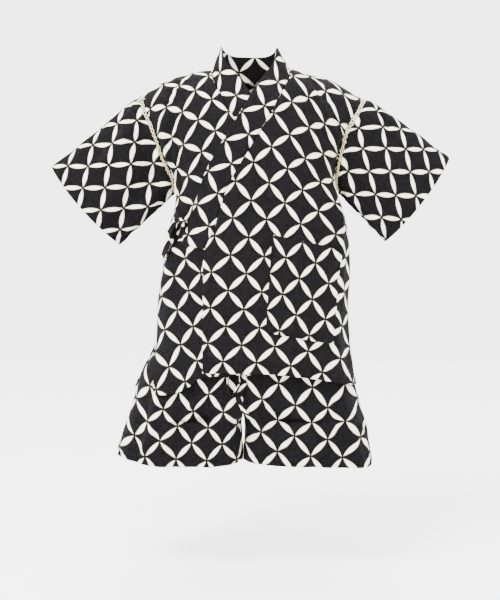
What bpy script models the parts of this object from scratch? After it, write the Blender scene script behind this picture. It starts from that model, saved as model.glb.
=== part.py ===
"""A child's jinbei set of printed cotton, hollow, in the form that it has when it is worn.

The top is a wrap jacket with short sleeves that openwork lacing joins to the body. The shorts hang under it.
The origin lies between the shoulders at the base of the neck. +Z is up, the front faces -Y and +X is the
wearer's left. All sizes are in metres. The drop of a point is its distance below the shoulder line.
"""

import math

import bmesh
import bpy
import numpy as np

# Cloth
CLOTH = 0.0012  # wall of one layer of cotton
BAND = 0.0020  # wall of a folded and sewn band
SEAM = 0.0003  # gap between two pieces at a seam
LAYER = 0.0006  # air between pieces that lie on each other
ROUNDNESS = 2.4  # exponent of the body's cross-section, 2 is an ellipse
FRONT, BACK = -1, 1
LEFT, RIGHT = 1, -1

# Body of the top, one row for each level below the shoulder line.
# right and left are where the side edge lies, front and back how deep the cloth reaches from the middle.
# arm is how far from the middle the armhole edge lies, as a share of that depth.
TORSO_COLUMNS = ("drop", "right", "left", "front", "back", "arm")
TORSO = (
    (0.000, -0.171, 0.174, 0.000, 0.000, 0.46),
    (0.006, -0.170, 0.173, 0.022, 0.024, 0.46),
    (0.016, -0.168, 0.170, 0.038, 0.040, 0.46),
    (0.032, -0.165, 0.165, 0.055, 0.055, 0.46),
    (0.060, -0.157, 0.154, 0.071, 0.068, 0.46),
    (0.090, -0.147, 0.144, 0.081, 0.077, 0.42),
    (0.120, -0.137, 0.137, 0.088, 0.082, 0.35),
    (0.150, -0.127, 0.132, 0.092, 0.085, 0.24),
    (0.175, -0.119, 0.131, 0.093, 0.086, 0.11),
    (0.194, -0.118, 0.136, 0.094, 0.087, 0.00),
    (0.230, -0.123, 0.148, 0.094, 0.087, 0.00),
    (0.270, -0.132, 0.155, 0.095, 0.087, 0.00),
    (0.320, -0.141, 0.157, 0.097, 0.089, 0.00),
    (0.370, -0.148, 0.154, 0.099, 0.092, 0.00),
    (0.425, -0.1505, 0.157, 0.099, 0.095, 0.00),
    (0.450, -0.1600, 0.160, 0.099, 0.096, 0.00),
    (0.470, -0.1705, 0.163, 0.099, 0.097, 0.00),
    (0.510, -0.1885, 0.170, 0.099, 0.099, 0.00),
)
ARM_DROP = 0.194
HEM_DROP = 0.500

# Height of the shoulder line out from the neck
SHOULDER_COLUMNS = ("x", "height")
SHOULDER = (
    (-0.182, -0.046),
    (-0.160, -0.034),
    (-0.136, -0.0195),
    (-0.102, -0.008),
    (-0.061, -0.001),
    (0.061, 0.000),
    (0.090, -0.0075),
    (0.126, -0.017),
    (0.149, -0.031),
    (0.182, -0.049),
)

# Inner edge of a front panel, where the collar is sewn on and, below it, where the panel just ends.
# It is given for the wearer's left front and mirrored for the right one.
OPENING_COLUMNS = ("drop", "x")
OPENING = (
    (0.000, 0.0630),
    (0.018, 0.0595),
    (0.040, 0.0480),
    (0.076, 0.0285),
    (0.113, 0.0069),
    (0.154, -0.0180),
    (0.182, -0.0337),
    (0.212, -0.0442),
    (0.250, -0.0556),
    (0.281, -0.0686),
    (0.310, -0.0720),
    (0.510, -0.0740),
)
NECK_HALF = 0.063
NECK_DIP = 0.016  # how far the back neck seam lies below the shoulder line

# Hems, as the drop at places across the panel
HEM_COLUMNS = ("x", "drop")
HEM_LEFT_FRONT = (
    (-0.075, 0.4700),
    (0.020, 0.4705),
    (0.080, 0.4775),
    (0.120, 0.4850),
    (0.170, 0.4990),
)
HEM_RIGHT_FRONT = (
    (-0.154, 0.5040),
    (-0.139, 0.5065),
    (-0.105, 0.4980),
    (-0.072, 0.4760),
    (0.075, 0.4680),
)
HEM_BACK = (
    (-0.188, 0.5060),
    (-0.100, 0.5010),
    (0.000, 0.4980),
    (0.100, 0.4990),
    (0.171, 0.5010),
)
VENT_DROP = 0.425  # top of the side vents
VENT_EDGE_RIGHT = -0.152  # where the right front's edge hangs below its vent
VENT_EDGE_LEFT = 0.162

# Folds of the top. Each is a soft trough beside a ridge along a straight line on one face.
FOLD_COLUMNS = ("face", "x0", "z0", "x1", "z1", "width", "depth")
FOLDS = (
    (FRONT, 0.148, -0.200, 0.145, -0.455, 0.013, 0.0045),
    (FRONT, 0.092, -0.045, 0.126, -0.112, 0.010, -0.0045),
    (FRONT, -0.126, -0.075, -0.113, -0.190, 0.011, 0.0045),
    (FRONT, -0.112, -0.275, -0.124, -0.355, 0.015, 0.0030),
    (FRONT, -0.060, -0.330, -0.112, -0.285, 0.017, 0.0022),
    (FRONT, 0.060, -0.440, 0.078, -0.520, 0.024, 0.0022),
    (FRONT, -0.060, -0.430, -0.070, -0.520, 0.024, 0.0018),
    (BACK, 0.070, -0.120, 0.062, -0.330, 0.020, 0.0050),
    (BACK, -0.074, -0.130, -0.060, -0.350, 0.020, -0.0050),
    (BACK, -0.110, -0.262, -0.020, -0.292, 0.014, 0.0040),
    (BACK, -0.110, -0.225, -0.010, -0.215, 0.014, -0.0035),
    (BACK, 0.060, -0.400, 0.075, -0.520, 0.022, 0.0030),
    (BACK, -0.080, -0.400, -0.096, -0.520, 0.022, -0.0030),
    (BACK, 0.135, -0.205, 0.130, -0.400, 0.015, -0.0035),
)

# Collar band
COLLAR_WIDTH = 0.041
COLLAR_CELLS = 4
BAND_GAP = 0.0005  # from the panel's edge to the band
COLLAR_LEAN = {LEFT: math.radians(30), RIGHT: math.radians(20)}
NECK_LEAN = math.radians(14)
STAND_DROP = 0.056  # above this drop the band lifts off the chest and begins to stand
NECK_EASE = 0.0006  # room between the standing band and the panel's edge

# Sleeves. The cuff is a flat oval, given by its top and bottom corners.
CUFF_COLUMNS = ("side", "top_x", "top_z", "bottom_x", "bottom_z")
CUFFS = (
    (RIGHT, -0.316, -0.152, -0.209, -0.275),
    (LEFT, 0.314, -0.139, 0.214, -0.270),
)
CUFF_HALF = 0.031  # half the oval's thickness, front to back
CUFF_BOW = 0.006  # how far the middle of the cuff reaches past its corners
CUFF_FORWARD = -0.006
LACE_WIDTH = 0.0052
LACE_WALL = 0.0018
LACE_GAP = 0.0006  # from the lacing to the cloth on either side
ARMPIT_EASE = 0.0016  # room between the armpit and what is sewn there
CROWN_COLUMNS = ("side", "rise", "fade")  # how the top of each sleeve arches, and how fast that fades outwards
CROWNS = (
    (RIGHT, 0.0050, 3.0),
    (LEFT, 0.0064, 0.5),
)
SLEEVE_FOLD_COLUMNS = ("side", "turn0", "along0", "turn1", "along1", "width", "depth")
SLEEVE_FOLDS = (
    (RIGHT, 0.55, 0.02, 1.90, 0.30, 0.22, -0.0050),
    (RIGHT, 0.85, 0.05, 1.15, 0.75, 0.20, 0.0040),
    (RIGHT, 2.20, 0.05, 2.55, 0.90, 0.22, 0.0040),
    (RIGHT, 4.10, 0.05, 4.50, 0.80, 0.26, 0.0045),
    (RIGHT, 5.20, 0.02, 4.70, 0.45, 0.24, -0.0045),
    (LEFT, 0.80, 0.04, 1.70, 0.55, 0.22, -0.0045),
    (LEFT, 2.10, 0.05, 2.60, 0.85, 0.24, 0.0045),
    (LEFT, 4.00, 0.05, 4.40, 0.85, 0.26, -0.0045),
    (LEFT, 5.25, 0.02, 4.80, 0.50, 0.24, 0.0045),
)

# Pocket corners on the wearer's left front, as x and drop: top inner and outer, bottom inner and outer
POCKET_COLUMNS = ("x", "drop")
POCKET = (
    (0.0316, 0.2573),
    (0.1350, 0.2800),
    (0.0218, 0.4060),
    (0.1245, 0.4277),
)

# Shorts, one row for each level. right and left are the outer sides, front and back the depths. split says
# how far the hips have parted into two legs: 0 is one ring round both, 1 is a closed ring for each leg.
SHORTS_CENTRE = -0.0125
INNER_ROUNDNESS = 4.0
LEG_COLUMNS = ("z", "right", "left", "split", "front", "back")
LEG = (
    (-0.3720, -0.1205, 0.0955, 0.00, 0.080, 0.078),
    (-0.4000, -0.1390, 0.1230, 0.00, 0.0850, 0.084),
    (-0.4300, -0.1480, 0.1500, 0.00, 0.0870, 0.089),
    (-0.4600, -0.1640, 0.1595, 0.00, 0.0880, 0.091),
    (-0.4900, -0.1785, 0.1650, 0.00, 0.0890, 0.093),
    (-0.5060, -0.1840, 0.1690, 0.10, 0.0890, 0.093),
    (-0.5200, -0.1880, 0.1730, 0.34, 0.0870, 0.092),
    (-0.5320, -0.1915, 0.1765, 0.60, 0.0835, 0.089),
    (-0.5420, -0.1945, 0.1790, 0.84, 0.0800, 0.085),
    (-0.5500, -0.1975, 0.1815, 1.00, 0.0760, 0.081),
    (-0.5800, -0.2080, 0.1885, 1.00, 0.0670, 0.071),
    (-0.6170, -0.2180, 0.1940, 1.00, 0.0600, 0.063),
)
LEG_LEVELS = (0.372, 0.386, 0.400, 0.430, 0.460, 0.482, 0.498, 0.510, 0.521, 0.532, 0.542, 0.550, 0.566, 0.584,
              0.601, 0.617)
CROTCH_Z = -0.550
HEM_SWING = {LEFT: -0.013, RIGHT: 0.007}  # how far the outer side of each hem lies above its inner side
HEM_REACH = {LEFT: 1, RIGHT: 3}  # the higher, the closer to the outer side that swing stays
HEM_DIP = {LEFT: 0.0, RIGHT: 0.0075}  # how much deeper each hem hangs in the middle of the front
LEG_FOLD_COLUMNS = ("side", "turn0", "z0", "turn1", "z1", "width", "depth")
LEG_FOLDS = (
    (RIGHT, 2.60, -0.480, 2.45, -0.640, 0.16, 0.0040),
    (RIGHT, 1.75, -0.530, 1.85, -0.640, 0.15, -0.0040),
    (RIGHT, 0.95, -0.500, 1.00, -0.640, 0.16, 0.0035),
    (RIGHT, 4.00, -0.480, 4.15, -0.640, 0.18, 0.0045),
    (RIGHT, 5.10, -0.500, 5.20, -0.640, 0.18, -0.0040),
    (LEFT, 2.50, -0.480, 2.60, -0.640, 0.16, -0.0040),
    (LEFT, 1.70, -0.520, 1.60, -0.640, 0.15, 0.0040),
    (LEFT, 4.20, -0.480, 4.05, -0.640, 0.18, -0.0045),
    (LEFT, 5.20, -0.500, 5.05, -0.640, 0.18, 0.0040),
)

# Waistband, gathered on its elastic
BAND_TOP = -0.344
BAND_BOTTOM = -0.3716
GATHERS = 18
GATHER_DEPTH = 0.0022

# Ties at the wearer's right waist. Each loop of the bow runs over the body from the knot to its tip, and
# base is how far its inner side lies off the body's inner face.
TIE_WIDTH = 0.016
TIE_KNOT_X = -0.0990
TIE_KNOT_DROP = 0.240
TIE_KNOT_SIZE = (0.013, 0.013, 0.016)
TIE_START = (-0.1070, 0.2425)  # where both loops leave the knot, as x and drop
LOOP_COLUMNS = ("name", "x", "drop", "base", "half_gap")
TIE_LOOPS = (
    ("tie_loop_low", -0.1295, 0.2960, 0.0034, 0.0022),
    ("tie_loop_high", -0.1180, 0.2660, 0.0106, 0.0022),
)
TIE_FRONT_COLUMNS = ("drop", "x", "width")
TIE_FRONT = (
    (0.2440, -0.0995, 0.0060),
    (0.2520, -0.1020, 0.0075),
    (0.2600, -0.1055, 0.0075),
    (0.2680, -0.1085, 0.0070),
)
TIE_SIDE_HALF = 0.0050

# Tie of the shorts, knotted on the waistband's front
WAIST_KNOT_SIZE = (0.015, 0.009, 0.013)
WAIST_LOOP_TOP = (-0.0165, -0.0880, -0.3936)
WAIST_LOOP_TIP = (-0.0295, -0.0965, -0.5040)
WAIST_LOOP_HALF = 0.0120
KNOT_SHRINK = 0.84  # size of a rounded knot as a share of its cage
WAIST_END_COLUMNS = ("x", "out", "z")
WAIST_END = (
    (-0.0090, 0.0020, -0.3922),
    (-0.0085, 0.0010, -0.4300),
    (-0.0095, 0.0008, -0.4650),
    (-0.0130, 0.0016, -0.4920),
    (-0.0195, 0.0036, -0.5090),
    (-0.0130, 0.0052, -0.5220),
    (-0.0080, 0.0060, -0.5330),
)

# Colours of the printed cotton as it looks from a distance, and of the lacing
COLOURS = {
    "cotton": (0.055, 0.050, 0.052, 1.0),
    "lacing": (0.72, 0.66, 0.50, 1.0),
}


def column(table, names, name):
    """One named column of a table, as an array."""
    return np.array([row[names.index(name)] for row in table], dtype=float)


def read(table, names, name, at):
    """A column's value at places along the first column, which may rise or fall.

    The curve through the rows is a monotone cubic: at each row its slope is the harmonic mean of the two
    chords beside it, or zero where they turn. Past either end the value stays what it is there.
    """
    xs = column(table, names, names[0])
    ys = column(table, names, name)
    if xs[0] > xs[-1]:
        xs, ys = xs[::-1], ys[::-1]
    at = np.clip(np.asarray(at, dtype=float), xs[0], xs[-1])
    steps = np.diff(xs)
    chords = np.diff(ys) / steps
    slopes = np.zeros_like(ys)
    slopes[0], slopes[-1] = chords[0], chords[-1]
    before, after = chords[:-1], chords[1:]
    together = before * after > 0
    slopes[1:-1][together] = (2 * before * after)[together] / (before + after)[together]
    i = np.clip(np.searchsorted(xs, at, side="right") - 1, 0, len(steps) - 1)
    s = (at - xs[i]) / steps[i]
    rise = ys[i] * (1 + 2 * s) * (1 - s) ** 2 + ys[i + 1] * s * s * (3 - 2 * s)
    return rise + steps[i] * (slopes[i] * s * (1 - s) ** 2 - slopes[i + 1] * s * s * (1 - s))


def ease(value):
    """0 below 0, 1 above 1, and a smooth step between."""
    v = np.clip(value, 0.0, 1.0)
    return v * v * (3 - 2 * v)


def power(value, exponent):
    """The value's size raised to a power, with its sign kept."""
    return np.sign(value) * np.abs(value) ** exponent


def unit(vectors):
    """Vectors of length one in the same directions."""
    return vectors / np.linalg.norm(vectors, axis=-1, keepdims=True)


def crease(x, z, x0, z0, x1, z1, width, depth):
    """Height of a trough beside a ridge along a line: depth times d/width times exp(-(d/width)^2), doubled.

    d is the distance from the line, and the fold fades out over the first and last quarter of its length.
    """
    length = math.hypot(x1 - x0, z1 - z0)
    ux, uz = (x1 - x0) / length, (z1 - z0) / length
    along = ((x - x0) * ux + (z - z0) * uz) / length
    across = ((x - x0) * uz - (z - z0) * ux) / width
    fade = ease(along * 4 + 0.5) * ease((1 - along) * 4 + 0.5)
    return depth * 2.0 * across * np.exp(-across * across) * fade


# Body of the top


def spans(drop, face):
    """Middle, half width and depth of the body's section at a drop."""
    right = read(TORSO, TORSO_COLUMNS, "right", drop)
    left = read(TORSO, TORSO_COLUMNS, "left", drop)
    arm = read(TORSO, TORSO_COLUMNS, "arm", drop)
    depth = read(TORSO, TORSO_COLUMNS, "front" if face == FRONT else "back", drop)
    reach = (left - right) / 2 / (1 - arm**ROUNDNESS) ** (1 / ROUNDNESS)
    return (left + right) / 2, reach, depth


def plain_torso(turn, drop, face):
    """Inner face of the top before its folds.

    The section is a superellipse: x is the middle plus the half width times cos(turn) to the power 2/n, and
    y the depth times sin(turn) to the same power, signs kept. turn runs from 0 at the wearer's left side to
    pi at the right. The shoulder line's own slope fades out down to the armpit.
    """
    middle, reach, depth = spans(drop, face)
    x = middle + reach * power(np.cos(turn), 2 / ROUNDNESS)
    y = face * (SEAM / 2 + depth * power(np.sin(turn), 2 / ROUNDNESS))
    fade = np.clip(1 - drop / ARM_DROP, 0, 1) ** 1.3
    z = -drop + read(SHOULDER, SHOULDER_COLUMNS, "height", x) * fade
    return np.stack(np.broadcast_arrays(x, y, z), axis=-1)


def torso_normal(turn, drop, face):
    """Direction out of the plain surface, from its differences across and down."""
    step_turn, step_drop = 0.01, 0.0008
    across = plain_torso(turn + step_turn, drop, face) - plain_torso(turn - step_turn, drop, face)
    down = plain_torso(turn, drop + step_drop, face) - plain_torso(turn, np.maximum(drop - step_drop, 0), face)
    return unit(np.cross(across, down) * -face)


def torso(turn, drop, face, lift=0.0):
    """The top's inner face with its folds, moved out by lift along the plain surface's normal."""
    point = plain_torso(turn, drop, face)
    height = np.zeros(point.shape[:-1])
    for fold_face, *fold in FOLDS:
        if fold_face == face:
            height += crease(point[..., 0], point[..., 2], *fold)
    middle, reach, _ = spans(drop, face)
    height *= ease((1 - np.abs(point[..., 0] - middle) / reach) / 0.06)
    return point + torso_normal(turn, drop, face) * (height + lift)[..., None]


def turn_at(x, drop, face):
    """The turn at which the body's section passes x."""
    middle, reach, _ = spans(drop, face)
    share = np.clip((x - middle) / reach, -1, 1)
    return np.arccos(power(share, ROUNDNESS / 2))


def edge_turn(drop, side, face):
    """The turn at which a panel ends: at the armhole, at the side seam, or at the vent below it."""
    cut = read(TORSO, TORSO_COLUMNS, "arm", drop)
    angle = np.arcsin(cut ** (ROUNDNESS / 2))
    angle = angle if side == LEFT else math.pi - angle
    if face == FRONT:
        middle, reach, _ = spans(drop, face)
        seam = middle + side * reach
        vent = VENT_EDGE_LEFT if side == LEFT else VENT_EDGE_RIGHT
        parted = ease((drop - VENT_DROP) / 0.03)
        hangs = turn_at(seam + (vent - seam) * parted, drop, face)
        angle = np.where(drop > VENT_DROP, hangs, angle)
    return angle


def over_lift(turn, drop):
    """How far the wearer's left front stands off to clear the right front and its collar."""
    middle, reach, _ = spans(drop, FRONT)
    share = (plain_torso(turn, drop, FRONT)[..., 0] - middle) / reach
    return (BAND + LAYER) * ease(drop / 0.030) * ease((0.96 - share) / 0.24)


# Levels of the grid lines, closer together over the shoulder
SHOULDER_LEVELS = (0.0, 0.004, 0.012, 0.024, 0.040, 0.060, 0.084, 0.110, 0.135, 0.158, 0.178, 0.194)
BODY_LEVELS = (0.216, 0.238, 0.260, 0.282, 0.312, 0.345, 0.380, 0.408, 0.428, 0.444, 0.461, 0.480, 0.500)
COLLAR_ROWS = len(SHOULDER_LEVELS) + 4  # the band ends at one of the panel's grid lines
BACK_COLUMNS = 33


def levels(hem, x, neck=None):
    """Drop of each grid line at each x: it follows the neck at the top and the hem at the bottom."""
    nominal = np.array(SHOULDER_LEVELS + BODY_LEVELS)[:, None]
    bottom = read(hem, HEM_COLUMNS, "drop", x)
    below = np.clip((nominal - ARM_DROP) / (HEM_DROP - ARM_DROP), 0, 1)
    drop = nominal + (bottom - HEM_DROP) * below**3
    if neck is not None:
        drop = drop + neck * np.clip(1 - nominal / ARM_DROP, 0, 1) ** 2
    return drop


def inner_drops(side):
    """Drops of the grid lines where they meet a front's inner edge."""
    hem = HEM_LEFT_FRONT if side == LEFT else HEM_RIGHT_FRONT
    nominal = np.array(SHOULDER_LEVELS + BODY_LEVELS)
    x = side * read(OPENING, OPENING_COLUMNS, "x", nominal)
    return np.diagonal(levels(hem, x[None, :]))


def front_panel(side, columns):
    """Grid of a front from its inner edge to its armhole, side seam and vent."""
    hem = HEM_LEFT_FRONT if side == LEFT else HEM_RIGHT_FRONT
    across = np.linspace(0, 1, columns)[None, :] ** 0.94
    nominal = np.array(SHOULDER_LEVELS + BODY_LEVELS)[:, None]
    drop = np.repeat(nominal, columns, axis=1)
    for _ in range(3):
        inner = turn_at(side * read(OPENING, OPENING_COLUMNS, "x", drop), drop, FRONT)
        outer = edge_turn(drop, side, FRONT)
        turn = inner + (outer - inner) * across
        drop = levels(hem, plain_torso(turn, drop, FRONT)[..., 0])
    lift = over_lift(turn, drop) if side == LEFT else 0.0
    return torso(turn, drop, FRONT, lift)


def neck_dip(x):
    """Drop of the back neck seam: a shallow scoop between the two neck points."""
    return NECK_DIP * np.clip(1 - (x / NECK_HALF) ** 4, 0, 1)


def back_places(columns):
    """Turn and drop of the back's grid points, from the wearer's left edge to the right one."""
    across = np.linspace(0, 1, columns)[None, :]
    nominal = np.array(SHOULDER_LEVELS + BODY_LEVELS)[:, None]
    drop = np.repeat(nominal, columns, axis=1)
    for _ in range(3):
        start = edge_turn(drop, LEFT, BACK)
        end = edge_turn(drop, RIGHT, BACK)
        turn = start + (end - start) * across
        x = plain_torso(turn, drop, BACK)[..., 0]
        drop = levels(HEM_BACK, x, neck_dip(x))
    return turn, drop


# Collar


def chest_band(drop, side):
    """Points of the band on the chest, from the seam to its free edge.

    The free edge lies one width from the seam, square to it in the flat cloth. Each step across is shortened
    in x where the chest turns away to the side.
    """
    step = 0.002
    x = read(OPENING, OPENING_COLUMNS, "x", drop)
    slope = read(OPENING, OPENING_COLUMNS, "x", drop + step) - read(OPENING, OPENING_COLUMNS, "x", drop - step)
    size = np.hypot(slope, 2 * step)
    out_x, out_drop = -2 * step / size, slope / size
    place_x, place_drop = side * x, drop
    reaches = [BAND_GAP] + [COLLAR_WIDTH / COLLAR_CELLS] * COLLAR_CELLS
    band_x, band_drop = [], []
    for reach in reaches:
        normal = torso_normal(turn_at(place_x, place_drop, FRONT), place_drop, FRONT)
        flatness = np.abs(normal[..., 1]) / np.hypot(normal[..., 0], normal[..., 1])
        place_x = place_x + side * reach * out_x * flatness
        place_drop = np.maximum(place_drop + reach * out_drop, 0.0)
        band_x.append(place_x)
        band_drop.append(place_drop)
    band_x, band_drop = np.stack(band_x, axis=-1), np.stack(band_drop, axis=-1)
    turn = turn_at(band_x, band_drop, FRONT)
    lift = over_lift(turn, band_drop) if side == LEFT else 0.0
    return torso(turn, band_drop, FRONT, lift)


def standing_band(seam, lean):
    """Points of the band where it stands: from the seam up, leaning in towards the middle of the neck.

    It stands inside the seam line by its own wall, so that the panel's edge meets its outer face.
    """
    inward = unit((np.array([0.0, -0.006, 0.0]) - seam) * np.array([1.0, 1.0, 0.0]))
    way = inward * np.sin(lean)[:, None] + np.array([0.0, 0.0, 1.0]) * np.cos(lean)[:, None]
    start = seam + inward * (BAND + SEAM + NECK_EASE)
    return start[:, None, :] + way[:, None, :] * (COLLAR_WIDTH * np.linspace(0, 1, COLLAR_CELLS + 1)[:, None])


def collar_grid():
    """One band: up the over front, round the back of the neck and down the under front.

    Behind the neck its stations are those of the back's top edge.
    """
    halves = []
    for side in (LEFT, RIGHT):
        chest = inner_drops(side)[:COLLAR_ROWS][::-1]
        flat = chest_band(chest, side)
        seam = torso(turn_at(side * read(OPENING, OPENING_COLUMNS, "x", chest), chest, FRONT), chest, FRONT)
        up = standing_band(seam, np.full(len(chest), COLLAR_LEAN[side]))
        stand = (1 - ease((chest - 0.004) / STAND_DROP))[:, None, None]
        halves.append(flat * (1 - stand) + up * stand)
    turn, drop = back_places(BACK_COLUMNS)
    x = plain_torso(turn[0], drop[0], BACK)[:, 0]
    behind_neck = np.abs(x) < NECK_HALF - 0.003
    x = x[behind_neck]
    seam = torso(turn[0], drop[0], BACK)[behind_neck]
    sides = np.where(x > 0, COLLAR_LEAN[LEFT], COLLAR_LEAN[RIGHT])
    behind = standing_band(seam, NECK_LEAN + (sides - NECK_LEAN) * (np.abs(x) / NECK_HALF) ** 2)
    return np.concatenate([halves[0], behind, halves[1][::-1]])


# Sleeves


def armhole(theta, side):
    """The armhole's edge at the cloth's outer face.

    theta runs from 0 at the shoulder down the front edge to pi at the armpit, and up the back edge to 2 pi.
    """
    theta = np.mod(theta, 2 * math.pi)
    drop = ARM_DROP * (1 - np.cos(theta)) / 2
    lift = CLOTH + ARMPIT_EASE * ease(0.5 - np.cos(theta))
    front = torso(edge_turn(drop, side, FRONT), drop, FRONT, lift)
    back = torso(edge_turn(drop, side, BACK), drop, BACK, lift)
    return np.where((theta <= math.pi)[:, None], front, back)


def cuff(theta, side):
    """The cuff's oval: its middle, plus half its length times cos(theta), plus its thickness times sin(theta)."""
    row = next(r for r in CUFFS if r[0] == side)
    top = np.array([row[1], CUFF_FORWARD, row[2]])
    bottom = np.array([row[3], CUFF_FORWARD, row[4]])
    half = (top - bottom) / 2
    outward = unit(np.array([side * abs(half[2]), 0.0, -abs(half[0])]))
    c, s = np.cos(theta)[:, None], np.sin(theta)[:, None]
    oval = (top + bottom) / 2 + half * c + np.array([0.0, -CUFF_HALF, 0.0]) * s
    return oval + outward * CUFF_BOW * s * s


def sleeve_line(theta, far, side):
    """Points a share of the way from the armhole to the cuff, on straight lines."""
    start, end = armhole(theta, side), cuff(theta, side)
    return start[None] * (1 - far)[..., None] + end[None] * far[..., None]


def sleeve(theta, reach, side, lift=0.0):
    """Outer face of a sleeve or its lacing, with the folds, at shares of the way from armhole to cuff.

    reach has a row for each line round the sleeve and a column for each theta, or one for all.
    """
    start, end = armhole(theta, side), cuff(theta, side)
    length = np.linalg.norm(end - start, axis=-1)
    clear = LACE_GAP + ARMPIT_EASE * ease(-0.6 - np.cos(theta))
    far = (clear[None, :] + reach * (length - clear)[None, :]) / length[None, :]
    grid = sleeve_line(theta, far, side)
    height = np.zeros(grid.shape[:-1])
    for fold_side, *fold in SLEEVE_FOLDS:
        if fold_side == side:
            height += crease(theta[None, :], far, *fold)
    height *= ease(far / 0.25) * ease((1.15 - far) / 0.4)
    rise, fade = next(row[1:] for row in CROWNS if row[0] == side)
    height += rise * ease((np.cos(theta) - 0.3) / 0.7) * ease(far / 0.12) * np.clip(1 - far, 0, 1) ** fade
    across = sleeve_line(theta + 0.01, far, side) - sleeve_line(theta - 0.01, far, side)
    normal = unit(np.cross(across, (end - start)[None]) * side)
    return grid + normal * (height + lift)[..., None]


# Shorts


def leg(turn, z, side):
    """Outer face of a leg. turn runs from 0 at the centre front round the outside to 2 pi at the centre back.

    The section is the part of a superellipse that lies beyond the centre seam: half of it where the hips
    haven't split, and the whole where they have. It ends where its x meets the seam. Its inner half is
    squarer, so that the legs hang side by side.
    """
    outer = read(LEG, LEG_COLUMNS, "left" if side == LEFT else "right", z)
    split = read(LEG, LEG_COLUMNS, "split", z)
    width = side * (outer - SHORTS_CENTRE) - SEAM / 2
    apart = split * width / 2
    half = width - apart
    widest = math.pi - np.arccos(np.clip((apart / half) ** (INNER_ROUNDNESS / 2), 0, 1))
    angle = (turn / math.pi - 1) * widest
    c, s = np.cos(angle), np.sin(angle)
    roundness = np.where(c < 0, INNER_ROUNDNESS, ROUNDNESS)
    depth = np.where(s < 0, read(LEG, LEG_COLUMNS, "front", z), read(LEG, LEG_COLUMNS, "back", z))
    height = np.zeros(np.broadcast(turn, z).shape)
    for fold_side, turn0, z0, turn1, z1, wide, deep in LEG_FOLDS:
        if fold_side == side:
            height += crease(turn, z * 6, turn0, z0 * 6, turn1, z1 * 6, wide, deep)
    height *= ease((-0.500 - z) / 0.06) * ease((c + 0.55) / 0.5)
    x = apart + (half + height) * power(c, 2 / roundness)
    y = (depth + height) * power(s, 2 / roundness)
    x = SHORTS_CENTRE + side * (SEAM / 2 + np.maximum(x, 0))
    return np.stack(np.broadcast_arrays(x, y, z), axis=-1)


def leg_grid(side, columns):
    """Grid of a leg from the waist to the hem."""
    turn = np.linspace(0, 2 * math.pi, columns)[None, :]
    z = -np.array(LEG_LEVELS)[:, None]
    hem = np.clip((CROTCH_Z - z) / (CROTCH_Z - LEG[-1][0]), 0, 1) ** 1.5
    z = z + hem * HEM_SWING[side] * ((1 - np.cos(turn)) / 2) ** HEM_REACH[side]
    z = z - hem * HEM_DIP[side] * np.clip(np.sin(turn), 0, 1) ** 2
    return leg(turn, z, side)


def waistband_grid(columns):
    """A ring of gathers: the hips' section at the waist with a wave all round."""
    _, right, left, _, front, back = LEG[0]
    angle = np.linspace(0, 2 * math.pi, columns, endpoint=False)[None, :]
    z = np.linspace(BAND_TOP, BAND_BOTTOM, 3)[:, None]
    wave = GATHER_DEPTH * np.cos(GATHERS * angle)
    half = (left - right) / 2 + wave
    depth = np.where(np.sin(angle) < 0, front, back) + wave
    x = SHORTS_CENTRE + half * power(np.cos(angle), 2 / ROUNDNESS)
    y = depth * power(np.sin(angle), 2 / ROUNDNESS)
    return np.stack(np.broadcast_arrays(x, y, z), axis=-1)


# Ties


def spline(points, count):
    """A smooth curve through points: a Catmull-Rom curve over equal steps."""
    p = np.asarray(points, dtype=float)
    p = np.concatenate([[2 * p[0] - p[1]], p, [2 * p[-1] - p[-2]]])
    at = np.linspace(0, len(p) - 3, count)
    i = np.minimum(at.astype(int), len(p) - 4)
    t = (at - i)[:, None]
    a, b, c, d = p[i], p[i + 1], p[i + 2], p[i + 3]
    return 0.5 * (2 * b + (c - a) * t + (2 * a - 5 * b + 4 * c - d) * t**2 + (3 * b - a - 3 * c + d) * t**3)


def ribbon(path, across, width):
    """Grid of a strip along a path. across holds its direction and width its size at each point."""
    shares = np.linspace(-0.5, 0.5, 3)[None, :, None]
    return path[:, None, :] + unit(across)[:, None, :] * (width[:, None, None] * shares)


def loop_widths(s, narrow, wide, flare):
    """Width of a loop's strip: narrow at the knot, wide at the tip, growing as sin(s/2) to the power flare."""
    return narrow + (wide - narrow) * np.sin(s / 2) ** flare


def body_loop(tip, base, half_gap, count=18):
    """Closed ring of a bow's loop that hugs the body.

    s runs once round. The strip goes from the knot to the tip by (1 - cos s)/2, and it stands off the body
    by base plus half_gap times (1 + sin s).
    """
    s = np.linspace(0, 2 * math.pi, count, endpoint=False)
    share = (1 - np.cos(s)) / 2
    x, drop = (TIE_START[k] + (tip[k] - TIE_START[k]) * share for k in range(2))
    turn = turn_at(x, drop, FRONT)
    path = torso(turn, drop, FRONT, base + half_gap * (1 + np.sin(s)))
    whole_way = np.ptp(path, axis=0) * np.array([-1.0, 1.0, -1.0])
    across = np.cross(whole_way, torso_normal(turn, drop, FRONT))
    return ribbon(path, across, loop_widths(s, TIE_WIDTH * 0.3, TIE_WIDTH, 1.5))


def hanging_loop(start, end, half_gap, count=18):
    """Closed ring of a loop that hangs freely, open and broad only near its tip."""
    s = np.linspace(0, 2 * math.pi, count, endpoint=False)
    share = (1 - np.cos(s)) / 2
    opening = half_gap * np.sin(s) * (0.4 + 0.6 * share)
    path = start + (end - start) * share[:, None] + np.array([1.0, 0.0, 0.0]) * opening[:, None]
    across = np.repeat(np.array([[0.25, -1.0, 0.0]]), count, axis=0)
    return ribbon(path, across, loop_widths(s, 0.0032, 0.0105, 9))


# Meshes


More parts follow.
